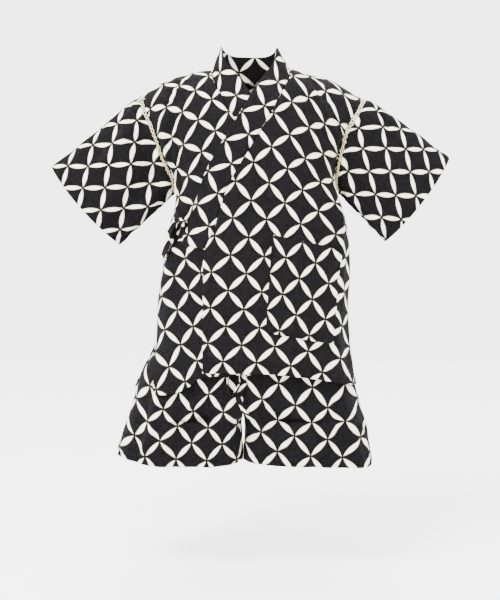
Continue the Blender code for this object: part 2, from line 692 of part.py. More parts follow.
def material(name):
    """A plain cloth finish."""
    made = bpy.data.materials.get(name)
    if made is None:
        made = bpy.data.materials.new(name)
        made.use_nodes = True
        shader = made.node_tree.nodes["Principled BSDF"]
        shader.inputs["Base Color"].default_value = COLOURS[name]
        shader.inputs["Roughness"].default_value = 0.9
        shader.inputs["Metallic"].default_value = 0.0
    return made


def new_object(name, mesh, finish, collection):
    """Puts a mesh in the scene with its finish, shaded smooth."""
    mesh.materials.append(material(finish))
    mesh.shade_smooth()
    made = bpy.data.objects.new(name, mesh)
    collection.objects.link(made)
    return made


def sheet(name, grid, wall, collection, outward=True, flip=False, ring=None, finish="cotton"):
    """An open surface from a grid of points, given a wall with Solidify.

    ring closes the grid on itself, "columns" across and "rows" along. outward grows the wall along the
    normals, otherwise it grows against them.
    """
    rows, columns = grid.shape[:2]
    mesh = bpy.data.meshes.new(name)
    bm = bmesh.new()
    verts = [[bm.verts.new(point) for point in line] for line in grid.tolist()]
    for i in range(rows if ring == "rows" else rows - 1):
        for j in range(columns if ring == "columns" else columns - 1):
            i2, j2 = (i + 1) % rows, (j + 1) % columns
            corners = [verts[i][j], verts[i][j2], verts[i2][j2], verts[i2][j]]
            bm.faces.new(corners[::-1] if flip else corners)
    bmesh.ops.remove_doubles(bm, verts=bm.verts, dist=0.00002)
    bm.to_mesh(mesh)
    bm.free()
    made = new_object(name, mesh, finish, collection)
    solid = made.modifiers.new("wall", "SOLIDIFY")
    solid.thickness = wall
    solid.offset = 1.0 if outward else -1.0
    solid.use_even_offset = True
    return made


def knot(name, centre, size, collection):
    """A knot as a small soft lump: a box cage rounded by subdivision."""
    mesh = bpy.data.meshes.new(name)
    bm = bmesh.new()
    bmesh.ops.create_cube(bm, size=1.0)
    for vert in bm.verts:
        vert.co = [centre[k] + vert.co[k] * size[k] for k in range(3)]
    bm.to_mesh(mesh)
    bm.free()
    made = new_object(name, mesh, "cotton", collection)
    smooth = made.modifiers.new("soft", "SUBSURF")
    smooth.levels = 2
    smooth.render_levels = 2
    return made


def make_body(collection):
    """Back, fronts, collar and pocket."""
    sheet("back", torso(*back_places(BACK_COLUMNS), BACK), CLOTH, collection, flip=True)
    sheet("front_right", front_panel(RIGHT, 19), CLOTH, collection)
    sheet("front_left", front_panel(LEFT, 19), CLOTH, collection, flip=True)
    sheet("collar", collar_grid(), BAND, collection, flip=True)

    top_inner, top_outer, bottom_inner, bottom_outer = np.array(POCKET)
    v, u = np.meshgrid(np.linspace(0, 1, 9), np.linspace(0, 1, 11), indexing="ij")
    v, u = v[..., None], u[..., None]
    place = (top_inner * (1 - u) + top_outer * u) * (1 - v) + (bottom_inner * (1 - u) + bottom_outer * u) * v
    drop = place[..., 1]
    turn = turn_at(place[..., 0], drop, FRONT)
    lift = over_lift(turn, drop) + CLOTH + LAYER
    sheet("pocket", torso(turn, drop, FRONT, lift), CLOTH, collection, flip=True)


def make_sleeves(collection):
    """Sleeves, and the lacing between them and the body."""
    theta = (np.arange(28) + 0.5) / 28 * 2 * math.pi
    for side, word in ((LEFT, "left"), (RIGHT, "right")):
        length = np.linalg.norm(cuff(theta, side) - armhole(theta, side), axis=-1).mean()
        lace = np.array([[0.0], [0.5], [1.0]]) * LACE_WIDTH / length
        room = LACE_GAP + ARMPIT_EASE * ease(-4 - 5 * np.cos(theta))
        start = (LACE_WIDTH + LACE_GAP + room)[None, :] / length
        cloth = start + (1 - start) * np.linspace(0, 1, 9)[:, None]
        flip = side == RIGHT
        sheet(f"lace_{word}", sleeve(theta, lace, side), LACE_WALL, collection, outward=False, flip=flip,
              ring="columns", finish="lacing")
        sheet(f"sleeve_{word}", sleeve(theta, cloth, side), CLOTH, collection, outward=False, flip=flip,
              ring="columns")


def make_shorts(collection):
    """Two legs and the waistband."""
    for side, word in ((LEFT, "left"), (RIGHT, "right")):
        sheet(f"leg_{word}", leg_grid(side, 29), CLOTH, collection, outward=False, flip=side == LEFT)
    sheet("waistband", waistband_grid(72), BAND, collection, outward=False, flip=True, ring="columns")


def make_side_tie(collection):
    """The outer ties: one from the collar's end and one from the side seam, tied in a bow."""
    turn = turn_at(TIE_KNOT_X, TIE_KNOT_DROP, FRONT)
    out = torso_normal(turn, TIE_KNOT_DROP, FRONT)
    ground = torso(turn, np.float64(TIE_KNOT_DROP), FRONT, np.float64(2 * CLOTH + SEAM))
    middle = ground + out * TIE_KNOT_SIZE[1] * KNOT_SHRINK / 2
    knot("tie_knot", middle, TIE_KNOT_SIZE, collection)

    for name, x, drop, base, half_gap in TIE_LOOPS:
        sheet(name, body_loop((x, drop), base, half_gap), CLOTH, collection, ring="rows")

    drops = np.linspace(TIE_FRONT[0][0], TIE_FRONT[-1][0], 7)[:, None]
    middles = read(TIE_FRONT, TIE_FRONT_COLUMNS, "x", drops)
    widths = read(TIE_FRONT, TIE_FRONT_COLUMNS, "width", drops)
    turns = turn_at(middles + widths * np.array([[-0.5, 0.0, 0.5]]), drops, FRONT)
    strip = torso(turns, drops, FRONT, CLOTH + LAYER)
    sheet("tie_front", strip, CLOTH, collection, flip=True)

    turns = np.linspace(math.pi - 0.02, turn + 0.03, 12)[:, None]
    drops = TIE_KNOT_DROP - 0.002 + np.array([[-TIE_SIDE_HALF, 0.0, TIE_SIDE_HALF]])
    strip = torso(turns, drops, FRONT, CLOTH + LAYER)
    sheet("tie_side", strip, CLOTH, collection)


def make_waist_tie(collection):
    """The shorts' tie: a knot on the waistband, one loop and one end that reach below the top's hem."""
    front = -read(LEG, LEG_COLUMNS, "front", np.array([-0.385]))[0]
    centre = np.array([SHORTS_CENTRE, front - WAIST_KNOT_SIZE[1] * KNOT_SHRINK / 2 - 2 * SEAM, -0.3860])
    knot("waist_tie_knot", centre, WAIST_KNOT_SIZE, collection)

    ring = hanging_loop(np.array(WAIST_LOOP_TOP), np.array(WAIST_LOOP_TIP), WAIST_LOOP_HALF)
    sheet("waist_tie_loop", ring, CLOTH, collection, ring="rows")

    rows = spline(WAIST_END, 16)
    depth = read(LEG, LEG_COLUMNS, "front", np.maximum(rows[:, 2], -0.500))
    path = np.stack([rows[:, 0], -depth - rows[:, 1], rows[:, 2]], axis=-1)
    across = np.stack([np.ones(16), -0.5 * ease((-0.48 - rows[:, 2]) / 0.03), np.zeros(16)], axis=-1)
    sheet("waist_tie_end", ribbon(path, across, np.linspace(0.0070, 0.0095, 16)), CLOTH, collection, flip=True)


def main():
    for old in list(bpy.data.objects):
        bpy.data.objects.remove(old, do_unlink=True)
    collection = bpy.data.collections.new("jinbei_set")
    bpy.context.scene.collection.children.link(collection)
    make_body(collection)
    make_sleeves(collection)
    make_shorts(collection)
    make_side_tie(collection)
    make_waist_tie(collection)


main()
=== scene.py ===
"""The looks of a child's jinbei set of printed cotton, hollow, in the form that it has when it is worn.

Each piece of cloth is an open surface worked out from the garment's own sizes and then given its wall. All
sizes are in metres, in the frame of the solids: +Z is up, the front faces -Y, +X is the wearer's left, and
the origin lies between the shoulders at the base of the neck. A point's drop is its distance below the
shoulder line.
"""

import math

import bpy
import numpy as np
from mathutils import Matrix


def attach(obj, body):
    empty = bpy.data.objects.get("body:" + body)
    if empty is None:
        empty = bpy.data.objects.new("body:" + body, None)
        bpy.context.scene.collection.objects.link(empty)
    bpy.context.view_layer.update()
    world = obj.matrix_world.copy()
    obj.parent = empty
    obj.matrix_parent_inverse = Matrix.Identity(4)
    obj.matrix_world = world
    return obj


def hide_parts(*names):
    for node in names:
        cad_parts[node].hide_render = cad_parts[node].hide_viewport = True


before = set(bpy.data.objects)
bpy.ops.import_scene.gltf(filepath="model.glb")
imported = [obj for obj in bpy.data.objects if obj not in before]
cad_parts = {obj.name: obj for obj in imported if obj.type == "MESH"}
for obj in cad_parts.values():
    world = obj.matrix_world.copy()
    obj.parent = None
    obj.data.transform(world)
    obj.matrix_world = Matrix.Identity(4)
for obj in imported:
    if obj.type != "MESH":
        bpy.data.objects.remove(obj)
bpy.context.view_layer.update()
scene = bpy.context.scene


# Floor, light and camera
# A seamless pale floor that runs up into a low round wall, one large soft light from above the front left, a
# weaker one from the right, and an even white surround above the wall.

FLOOR_Z = -0.80
FLOOR_RADIUS, SWEEP_RADIUS, WALL_TOP = 4.0, 1.2, 2.4
PINHOLE = 0.001  # radius of the floor's innermost ring
SWEEP_STEPS, SWEEP_SIDES = 20, 96
PAPER = (0.93, 0.93, 0.93, 1)


def placed(name, data):
    """A new object in the scene that holds a mesh, a lamp or a camera."""
    made = bpy.data.objects.new(name, data)
    scene.collection.objects.link(made)
    return made


def new_finish(name):
    """A new material, with its node tree and its shader."""
    finish = bpy.data.materials.new(name)
    finish.use_nodes = True
    return finish, finish.node_tree, finish.node_tree.nodes["Principled BSDF"]


def ring_faces(rings, sides, ends):
    """Faces between rings of points. The end rings are left open, joined to each other, or capped."""
    ring, corner = np.arange(rings if ends == "joined" else rings - 1)[:, None], np.arange(sides)[None, :]
    after, beside = (ring + 1) % rings * sides, (corner + 1) % sides
    corners = (ring * sides + corner, after + corner, after + beside, ring * sides + beside)
    faces = np.stack(corners, axis=-1).reshape(-1, 4).tolist()
    if ends == "capped":
        faces += [list(range(sides)), list(range((rings - 1) * sides, rings * sides))[::-1]]
    return faces


def smooth_piece(name, points, faces, finish):
    """An object with a smooth mesh of points and faces."""
    mesh = bpy.data.meshes.new(name)
    mesh.from_pydata(points.reshape(-1, 3).tolist(), [], faces)
    mesh.materials.append(finish)
    mesh.shade_smooth()
    return placed(name, mesh)


bend = np.linspace(0, math.pi / 2, SWEEP_STEPS)
out = np.concatenate([[PINHOLE], FLOOR_RADIUS + SWEEP_RADIUS * np.sin(bend), [FLOOR_RADIUS + SWEEP_RADIUS]])
up = np.concatenate([[FLOOR_Z], FLOOR_Z + SWEEP_RADIUS * (1 - np.cos(bend)), [WALL_TOP]])
around = np.linspace(0, 2 * math.pi, SWEEP_SIDES, endpoint=False)[:, None]
bowl = np.stack(np.broadcast_arrays(out * np.cos(around), out * np.sin(around), up), axis=-1).swapaxes(0, 1)
white_paper, _, shader = new_finish("white_paper")
shader.inputs["Base Color"].default_value = PAPER
shader.inputs["Roughness"].default_value = 0.9
floor = smooth_piece("floor", bowl, ring_faces(len(bowl), SWEEP_SIDES, "open"), white_paper)

SURROUND_STRENGTH = 4.6
world = bpy.data.worlds.new("surround")
world.use_nodes = True
world.node_tree.nodes["Background"].inputs["Color"].default_value = (1.0, 1.0, 1.0, 1)
world.node_tree.nodes["Background"].inputs["Strength"].default_value = SURROUND_STRENGTH
scene.world = world

# Name, place, turn in degrees, size and watts of each lamp
LIGHTS = (
    ("key", (-0.9, -1.3, 1.5), (46, 0, -35), 0.9, 150),
    ("fill", (1.6, -1.6, 0.9), (68, 0, 45), 1.6, 20),
    ("rim", (0.0, 1.3, 1.9), (-40, 0, 0), 1.6, 40),
)
for name, place, turn, size, watts in LIGHTS:
    lamp = bpy.data.lights.new(name, "AREA")
    lamp.size = size
    lamp.energy = watts
    light = placed(name, lamp)
    light.location = place
    light.rotation_euler = [math.radians(angle) for angle in turn]

CAMERA_PLACE = (-0.0016, -2.0, -0.214)
CAMERA_PITCH = math.radians(4.3)  # it looks down by this angle
LENS, SENSOR = 75.0, 36.0  # millimetres
camera_data = bpy.data.cameras.new("camera")
camera_data.lens = LENS
camera_data.sensor_width = SENSOR
camera = placed("camera", camera_data)
camera.location = CAMERA_PLACE
camera.rotation_euler = (math.pi / 2 - CAMERA_PITCH, 0, 0)
scene.camera = camera


# Back of the top
# One panel of printed cotton from the shoulder line to the hem, folded twice at the hem and down both vents.
# Its sides are sewn to the fronts, and its neck edge goes into the collar band.

CLOTH = 0.0012  # wall of one layer of cotton
BAND = 0.0020  # wall of a folded and sewn band
SEAM = 0.0003  # gap between two pieces at a seam
LAYER = 0.0006  # air between pieces that lie on each other
ROUNDNESS = 2.4  # exponent of the body's cross-section, 2 is an ellipse
TURN_EASE = 0.7  # how much flatter than the body the cloth lies where it turns away
FRONT, BACK = -1, 1
LEFT, RIGHT = 1, -1

# One row for each level of the body. right and left are where the side edge lies, front and back how deep the
# cloth reaches from the middle, and arm how far from the middle the armhole edge lies, as a share of that
# depth. In this and other tables that read() uses, the first row names the columns.
TORSO = (
    ("drop", "right", "left", "front", "back", "arm"),
    (0.000, -0.171, 0.174, 0.000, 0.000, 0.46),
    (0.006, -0.170, 0.173, 0.022, 0.024, 0.46),
    (0.016, -0.168, 0.170, 0.038, 0.040, 0.46),
    (0.032, -0.165, 0.165, 0.055, 0.055, 0.46),
    (0.060, -0.157, 0.154, 0.071, 0.068, 0.46),
    (0.090, -0.147, 0.144, 0.081, 0.077, 0.42),
    (0.120, -0.137, 0.137, 0.088, 0.082, 0.35),
    (0.150, -0.127, 0.132, 0.092, 0.085, 0.24),
    (0.175, -0.119, 0.131, 0.093, 0.086, 0.11),
    (0.194, -0.118, 0.136, 0.094, 0.087, 0.00),
    (0.230, -0.123, 0.148, 0.094, 0.087, 0.00),
    (0.270, -0.132, 0.155, 0.095, 0.087, 0.00),
    (0.320, -0.141, 0.157, 0.097, 0.089, 0.00),
    (0.370, -0.148, 0.154, 0.099, 0.092, 0.00),
    (0.425, -0.1505, 0.157, 0.099, 0.095, 0.00),
    (0.450, -0.1600, 0.160, 0.099, 0.096, 0.00),
    (0.470, -0.1705, 0.163, 0.099, 0.097, 0.00),
    (0.510, -0.1885, 0.170, 0.099, 0.099, 0.00),
)
ARM_DROP = 0.194
HEM_DROP = 0.500
SHOULDER = (
    ("x", "height"),
    (-0.182, -0.046),
    (-0.160, -0.034),
    (-0.136, -0.0195),
    (-0.102, -0.008),
    (-0.061, -0.001),
    (0.061, 0.000),
    (0.090, -0.0075),
    (0.126, -0.017),
    (0.149, -0.031),
    (0.182, -0.049),
)
HEM_BACK = (
    ("x", "drop"),
    (-0.188, 0.5060),
    (-0.100, 0.5010),
    (0.000, 0.4980),
    (0.100, 0.4990),
    (0.171, 0.5010),
)
VENT_DROP = 0.425  # top of the side vents
VENT_EDGE_RIGHT = -0.152
VENT_EDGE_LEFT = 0.162
NECK_HALF = 0.063
NECK_DIP = 0.016  # how far the back neck seam lies below the shoulder line

# Large folds: each is a soft trough beside a ridge along a straight line on one face. A row is face, x and z
# of the start, x and z of the end, width and depth.
FOLDS = (
    (FRONT, 0.148, -0.200, 0.145, -0.455, 0.013, 0.0045),
    (FRONT, 0.088, -0.040, 0.128, -0.116, 0.009, -0.0052),
    (FRONT, -0.129, -0.070, -0.116, -0.190, 0.010, 0.0062),
    (FRONT, -0.112, -0.275, -0.124, -0.355, 0.015, 0.0030),
    (FRONT, -0.060, -0.330, -0.112, -0.285, 0.017, 0.0022),
    (FRONT, 0.060, -0.440, 0.078, -0.520, 0.024, 0.0022),
    (FRONT, -0.060, -0.430, -0.070, -0.520, 0.024, 0.0018),
    (BACK, 0.070, -0.120, 0.062, -0.330, 0.020, 0.0050),
    (BACK, -0.074, -0.130, -0.060, -0.350, 0.020, -0.0050),
    (BACK, -0.110, -0.262, -0.020, -0.292, 0.014, 0.0040),
    (BACK, -0.110, -0.225, -0.010, -0.215, 0.014, -0.0035),
    (BACK, 0.060, -0.400, 0.075, -0.520, 0.022, 0.0030),
    (BACK, -0.080, -0.400, -0.096, -0.520, 0.022, -0.0030),
    (BACK, 0.135, -0.205, 0.130, -0.400, 0.015, -0.0035),
)

RUMPLE_WAVES = 9
FOLD_HIDES = 0.9  # how far a fold draws the print in, as a share of its own height

# Small creases: each is a bowed ridge, or a trough where its depth is below zero. A row is face, x and z of
# the start, x and z of the end, bow, width and depth.
CREASES = (
    (FRONT, -0.136, -0.030, -0.094, -0.036, 0.003, 0.0045, 0.0038),
    (FRONT, -0.126, -0.020, -0.090, -0.024, -0.002, 0.0035, 0.0020),
    (FRONT, -0.140, -0.052, -0.108, -0.050, 0.003, 0.0045, -0.0038),
    (FRONT, 0.088, -0.014, 0.122, -0.034, 0.003, 0.0040, 0.0024),
    (FRONT, 0.096, -0.034, 0.132, -0.058, 0.004, 0.0045, -0.0038),
    (FRONT, 0.088, -0.048, 0.112, -0.092, 0.003, 0.0040, 0.0026),
    (FRONT, -0.127, -0.084, -0.117, -0.180, 0.003, 0.0050, -0.0062),
    (FRONT, -0.110, -0.120, -0.102, -0.200, 0.003, 0.0060, 0.0024),
    (FRONT, -0.100, -0.238, -0.078, -0.208, -0.002, 0.0035, 0.0030),
    (FRONT, -0.102, -0.236, -0.094, -0.192, 0.003, 0.0040, -0.0032),
    (FRONT, -0.104, -0.238, -0.128, -0.206, 0.002, 0.0035, 0.0030),
    (FRONT, -0.106, -0.242, -0.140, -0.226, -0.002, 0.0035, -0.0028),
    (FRONT, -0.094, -0.244, -0.052, -0.262, 0.003, 0.0045, 0.0022),
    (FRONT, -0.096, -0.248, -0.064, -0.300, 0.004, 0.0050, -0.0036),
    (FRONT, -0.102, -0.252, -0.092, -0.318, -0.003, 0.0050, 0.0036),
    (FRONT, -0.120, -0.300, -0.098, -0.350, 0.003, 0.0060, -0.0022),
    (FRONT, -0.138, -0.318, -0.116, -0.386, 0.005, 0.0060, 0.0024),
    (FRONT, -0.076, -0.424, -0.096, -0.440, 0.001, 0.0035, 0.0014),
    (FRONT, -0.072, -0.444, -0.088, -0.462, 0.001, 0.0035, 0.0016),
    (FRONT, -0.070, -0.466, -0.078, -0.476, 0.001, 0.0030, 0.0012),
    (FRONT, 0.138, -0.205, 0.140, -0.330, 0.004, 0.0060, 0.0026),
    (FRONT, 0.128, -0.300, 0.140, -0.470, -0.005, 0.0070, -0.0040),
    (FRONT, 0.010, -0.150, 0.052, -0.215, 0.010, 0.0120, 0.0016),
    (FRONT, 0.120, -0.150, 0.060, -0.240, 0.012, 0.0120, -0.0020),
    (BACK, -0.130, -0.028, -0.088, -0.040, 0.003, 0.0050, 0.0024),
    (BACK, 0.086, -0.020, 0.128, -0.044, 0.004, 0.0050, -0.0024),
    (BACK, 0.124, -0.096, 0.108, -0.192, -0.005, 0.0060, 0.0030),
    (BACK, -0.122, -0.090, -0.106, -0.196, 0.004, 0.0055, -0.0032),
    (BACK, -0.116, -0.240, -0.050, -0.236, 0.005, 0.0060, 0.0026),
    (BACK, -0.118, -0.252, -0.060, -0.276, -0.003, 0.0050, -0.0026),
    (BACK, -0.120, -0.262, -0.070, -0.330, 0.006, 0.0060, 0.0026),
    (BACK, 0.134, -0.220, 0.110, -0.400, 0.008, 0.0080, 0.0026),
    (BACK, 0.020, -0.200, 0.036, -0.420, 0.008, 0.0120, 0.0020),
    (BACK, -0.030, -0.330, -0.046, -0.480, 0.006, 0.0100, -0.0020),
)


def column(table, name):
    """One column of a table whose first row names them, as an array."""
    return np.array([row[table[0].index(name)] for row in table[1:]], dtype=float)


def read(table, name, at):
    """A column's value at places along the first column, which may rise or fall.

    The curve through the rows is a monotone cubic: at each row its slope is the harmonic mean of the two
    chords beside it, or zero where they turn. Past either end the value stays what it is there.
    """
    xs, ys = column(table, table[0][0]), column(table, name)
    if xs[0] > xs[-1]:
        xs, ys = xs[::-1], ys[::-1]
    at = np.clip(np.asarray(at, dtype=float), xs[0], xs[-1])
    steps = np.diff(xs)
    chords = np.diff(ys) / steps
    slopes = np.zeros_like(ys)
    slopes[0], slopes[-1] = chords[0], chords[-1]
    before, after = chords[:-1], chords[1:]
    together = before * after > 0
    slopes[1:-1][together] = (2 * before * after)[together] / (before + after)[together]
    i = np.clip(np.searchsorted(xs, at, side="right") - 1, 0, len(steps) - 1)
    s = (at - xs[i]) / steps[i]
    rise = ys[i] * (1 + 2 * s) * (1 - s) ** 2 + ys[i + 1] * s * s * (3 - 2 * s)
    return rise + steps[i] * (slopes[i] * s * (1 - s) ** 2 - slopes[i + 1] * s * s * (1 - s))


def ease(value):
    """0 below 0, 1 above 1, and a smooth step between."""
    v = np.clip(value, 0.0, 1.0)
    return v * v * (3 - 2 * v)


def power(value, exponent):
    """The value's size raised to a power, with its sign kept."""
    return np.sign(value) * np.abs(value) ** exponent


def unit(vectors):
    """Vectors of length one in the same directions."""
    return vectors / np.maximum(np.linalg.norm(vectors, axis=-1, keepdims=True), 1e-12)


def from_line(x, z, x0, z0, x1, z1):
    """Share of the way along a line, distance across it, and the line's direction."""
    length = math.hypot(x1 - x0, z1 - z0)
    ux, uz = (x1 - x0) / length, (z1 - z0) / length
    return ((x - x0) * ux + (z - z0) * uz) / length, (x - x0) * uz - (z - z0) * ux, (ux, uz)


def fold(x, z, x0, z0, x1, z1, width, depth):
    """Height of a trough beside a ridge along a line: depth times d/width times exp(-(d/width)^2), doubled.

    d is the distance from the line, and the fold fades out over the first and last quarter of its length.
    """
    along, d, _ = from_line(x, z, x0, z0, x1, z1)
    d = d / width
    return depth * 2.0 * d * np.exp(-d * d) * ease(along * 4 + 0.5) * ease((1 - along) * 4 + 0.5)


def crease(x, z, x0, z0, x1, z1, bow, width, depth):
    """Height of a bowed ridge, or a trough where depth is below zero: depth times exp(-(d/w)^2).

    d is the distance from an arch over the line from start to end, bow high in its middle. w grows from
    three fifths of the width at the start to all of it, and the crease fades out at both ends.
    """
    along, d, _ = from_line(x, z, x0, z0, x1, z1)
    d = (d - 4 * bow * along * (1 - along)) / (width * (0.6 + 0.4 * np.clip(along, 0, 1)))
    return depth * np.exp(-d * d) * ease(along * 4) * ease((1 - along) * 2.5)


def relief(x, z, which, folds, creases=()):
    """Height of all the folds and creases of one face or side. Their rows begin with the face or side."""
    height = np.zeros(np.broadcast(x, z).shape)
    for form, table in ((fold, folds), (crease, creases)):
        for owner, *row in table:
            if owner == which:
                height += form(x, z, *row)
    return height


def rumple(u, v, seed, longest, depth):
    """Faint unevenness of worn cloth: a sum of sine waves with drawn directions, lengths and phases."""
    draw = np.random.default_rng(seed)
    total = 0.0
    for _ in range(RUMPLE_WAVES):
        angle, phase = draw.uniform(0, 2 * math.pi, 2)
        length = longest * draw.uniform(0.35, 1.0)
        total = total + np.sin((u * math.cos(angle) + v * math.sin(angle)) * 2 * math.pi / length + phase)
    return total * depth / math.sqrt(RUMPLE_WAVES)


def drawn_in(x, z, x0, z0, x1, z1, width, depth):
    """Shift of the print towards a fold, which hides some cloth, so that the print lies closer along it.

    It goes across the fold's line and is depth times tanh(d/width) times exp(-(d/4 width)^2).
    """
    along, d, (ux, uz) = from_line(x, z, x0, z0, x1, z1)
    d = d / width
    size = abs(depth) * FOLD_HIDES * np.tanh(d) * np.exp(-((d / 4) ** 2))
    return (size * ease(along * 4) * ease((1 - along) * 4))[..., None] * np.array([uz, -ux])


def squeeze(x, z, face):
    """Shift of the print towards all the large folds of one face."""
    shift = np.zeros(np.broadcast(x, z).shape + (2,))
    for fold_face, *row in FOLDS:
        if fold_face == face:
            shift += drawn_in(x, z, *row)
    return shift


def spans(drop, face):
    """Middle, half width and depth of the body's section at a drop."""
    right = read(TORSO, "right", drop)
    left = read(TORSO, "left", drop)
    arm = read(TORSO, "arm", drop)
    depth = read(TORSO, "front" if face == FRONT else "back", drop)
    reach = (left - right) / 2 / (1 - arm**ROUNDNESS) ** (1 / ROUNDNESS)
    return (left + right) / 2, reach, depth


def plain_torso(turn, drop, face):
    """Inner face of the top before its folds.

    The section is a superellipse: x is the middle plus the half width times cos(turn) to the power 2/n, and
    y the depth times sin(turn) to the same power, signs kept. turn runs from 0 at the wearer's left side to
    pi at the right. The shoulder line's own slope fades out down to the armpit.
    """
    middle, reach, depth = spans(drop, face)
    x = middle + reach * power(np.cos(turn), 2 / ROUNDNESS)
    y = face * (SEAM / 2 + depth * power(np.sin(turn), 2 / ROUNDNESS))
    fade = np.clip(1 - drop / ARM_DROP, 0, 1) ** 1.3
    z = -drop + read(SHOULDER, "height", x) * fade
    return np.stack(np.broadcast_arrays(x, y, z), axis=-1)


def torso_normal(turn, drop, face):
    """Direction out of the plain surface, from its differences across and down."""
    step_turn, step_drop = 0.01, 0.0008
    across = plain_torso(turn + step_turn, drop, face) - plain_torso(turn - step_turn, drop, face)
    above = np.maximum(drop - step_drop, 0)
    down = plain_torso(turn, drop + step_drop, face) - plain_torso(turn, above, face)
    return unit(np.cross(across, down) * -face)


def torso(turn, drop, face, lift=0.0):
    """The top's inner face with its folds and creases, moved out by lift along the plain surface's normal."""
    point = plain_torso(turn, drop, face)
    height = relief(point[..., 0], point[..., 2], face, FOLDS, CREASES)
    height += rumple(point[..., 0], point[..., 2], 3 + face, 0.075, 0.0005)
    middle, reach, _ = spans(drop, face)
    height *= ease((1 - np.abs(point[..., 0] - middle) / reach) / 0.06)
    return point + torso_normal(turn, drop, face) * (height + lift)[..., None]


def turn_at(x, drop, face):
    """The turn at which the body's section passes x."""
    middle, reach, _ = spans(drop, face)
    share = np.clip((x - middle) / reach, -1, 1)
    return np.arccos(power(share, ROUNDNESS / 2))


def edge_turn(drop, side, face):
    """The turn at which a panel ends: at the armhole, at the side seam, or at the vent below it."""
    cut = read(TORSO, "arm", drop)
    angle = np.arcsin(cut ** (ROUNDNESS / 2))
    angle = angle if side == LEFT else math.pi - angle
    if face == FRONT:
        middle, reach, _ = spans(drop, face)
        seam = middle + side * reach
        vent = VENT_EDGE_LEFT if side == LEFT else VENT_EDGE_RIGHT
        parted = ease((drop - VENT_DROP) / 0.03)
        hangs = turn_at(seam + (vent - seam) * parted, drop, face)
        angle = np.where(drop > VENT_DROP, hangs, angle)
    return angle


def finer(coarse, steps):
    """The same levels with each interval parted into equal steps."""
    coarse = np.asarray(coarse, dtype=float)
    places = np.arange((len(coarse) - 1) * steps + 1) / steps
    return np.interp(places, np.arange(len(coarse)), coarse)


# Drops of the grid lines, closer together over the shoulder
SHOULDER_LEVELS = (0.0, 0.004, 0.012, 0.024, 0.040, 0.060, 0.084, 0.110, 0.135, 0.158, 0.178, 0.194)
BODY_LEVELS = (0.216, 0.238, 0.260, 0.282, 0.312, 0.345, 0.380, 0.408, 0.428, 0.444, 0.461, 0.480, 0.500)
COLLAR_END = 0.282  # the collar band ends at this level
ROWS = finer(SHOULDER_LEVELS + BODY_LEVELS, 8)


def level_drop(nominal, hem, x, neck=0.0):
    """Drop of a grid line at x: it follows the neck at the top and the hem at the bottom."""
    bottom = read(hem, "drop", x)
    below = np.clip((nominal - ARM_DROP) / (HEM_DROP - ARM_DROP), 0, 1)
    return nominal + (bottom - HEM_DROP) * below**3 + neck * np.clip(1 - nominal / ARM_DROP, 0, 1) ** 2


def neck_dip(x):
    """Drop of the back neck seam: a shallow scoop between the two neck points."""
    return NECK_DIP * np.clip(1 - (x / NECK_HALF) ** 4, 0, 1)


def panel_places(edges, face, hem, across, scoop=0.0):
    """Turn, drop and x of a panel's grid points, which lie at shares of the way across it.

    edges gives the turns of the panel's two edges at each drop. scoop is 1 where its top follows the neck.
    """
    nominal = ROWS[:, None]
    drop = np.repeat(nominal, len(across), axis=1)
    for _ in range(3):
        start, end = edges(drop)
        turn = start + (end - start) * across
        x = plain_torso(turn, drop, face)[..., 0]
        drop = level_drop(nominal, hem, x, scoop * neck_dip(x))
    return turn, drop, x


STITCH_IN = 0.002  # from the inner edge of a hem to its stitches
HEM_LAYER, STITCH_DIP, HEM_STEP = 0.0004, 0.0004, 0.0012  # heights of a hem's layer and dip, and their width
PUCKER_LENGTH, PUCKER_HEIGHT = 0.016, 0.0005


def hem_relief(distance, along, width, seed):
    """Height of a turned hem: its second layer, a dip along its stitches, and the puckers that they draw."""
    layer = HEM_LAYER * ease((width - distance) / HEM_STEP)
    dip = -STITCH_DIP * np.exp(-(((distance - width + STITCH_IN) / HEM_STEP) ** 2))
    pull = np.exp(-(((distance - width * 0.55) / (width * 0.5)) ** 2))
    return layer + dip + pull * rumple(along, distance * 0.3, seed, PUCKER_LENGTH, PUCKER_HEIGHT)


def running(step, axis=0):
    """Sum of the steps up to each point along an axis, from zero at the first point."""
    return np.concatenate([np.zeros_like(step.take([0], axis)), np.cumsum(step, axis=axis)], axis=axis)


def run_of(points, axis=0):
    """Length from the first point to each point along an axis of a line or grid."""
    return running(np.linalg.norm(np.diff(points, axis=axis), axis=-1), axis)


def eased_length(step):
    """Level length of steps along a row, made less where the cloth turns away from the front or back.

    c is the share of the step that runs from side to side. Worn cotton hangs flatter there than the body is
    round, so the length is multiplied by c, and by 1 - TURN_EASE c where that is more.
    """
    level = np.hypot(step[..., 0], step[..., 1])
    c = np.abs(step[..., 0]) / np.maximum(level, 1e-9)
    return level * np.maximum(c, 1 - TURN_EASE * c)


def cloth_map(grid, start):
    """Flat place of each grid point: u is its level length along the row from start, and v the length down
    the column without the part that runs along the row."""
    u = running(eased_length(np.diff(grid, axis=1)), 1)
    tangent = unit(np.gradient(grid, axis=1))
    tangent = unit(tangent[1:] + tangent[:-1])
    down = np.diff(grid, axis=0)
    aside = (down * tangent).sum(axis=-1)
    fall = np.sqrt(np.maximum((down**2).sum(axis=-1) - aside**2, 0))
    return np.stack([u + start, -running(fall)], axis=-1)


def leaning(flat, lean):
    """The flat map with its grain out of square: u grows by lean times v."""
    return flat + flat[..., 1:] * np.array([lean, 0.0])


def crossing(grid, x):
    """Level length along each row from its first point to where the row passes x."""
    length = running(eased_length(np.diff(grid, axis=1)), 1)
    at = np.argmax(np.diff(np.sign(grid[..., 0] - x), axis=1) != 0, axis=1)
    row = np.arange(len(grid))
    before, after = grid[row, at, 0], grid[row, at + 1, 0]
    share = (x - before) / (after - before)
    return length[row, at] * (1 - share) + length[row, at + 1] * share


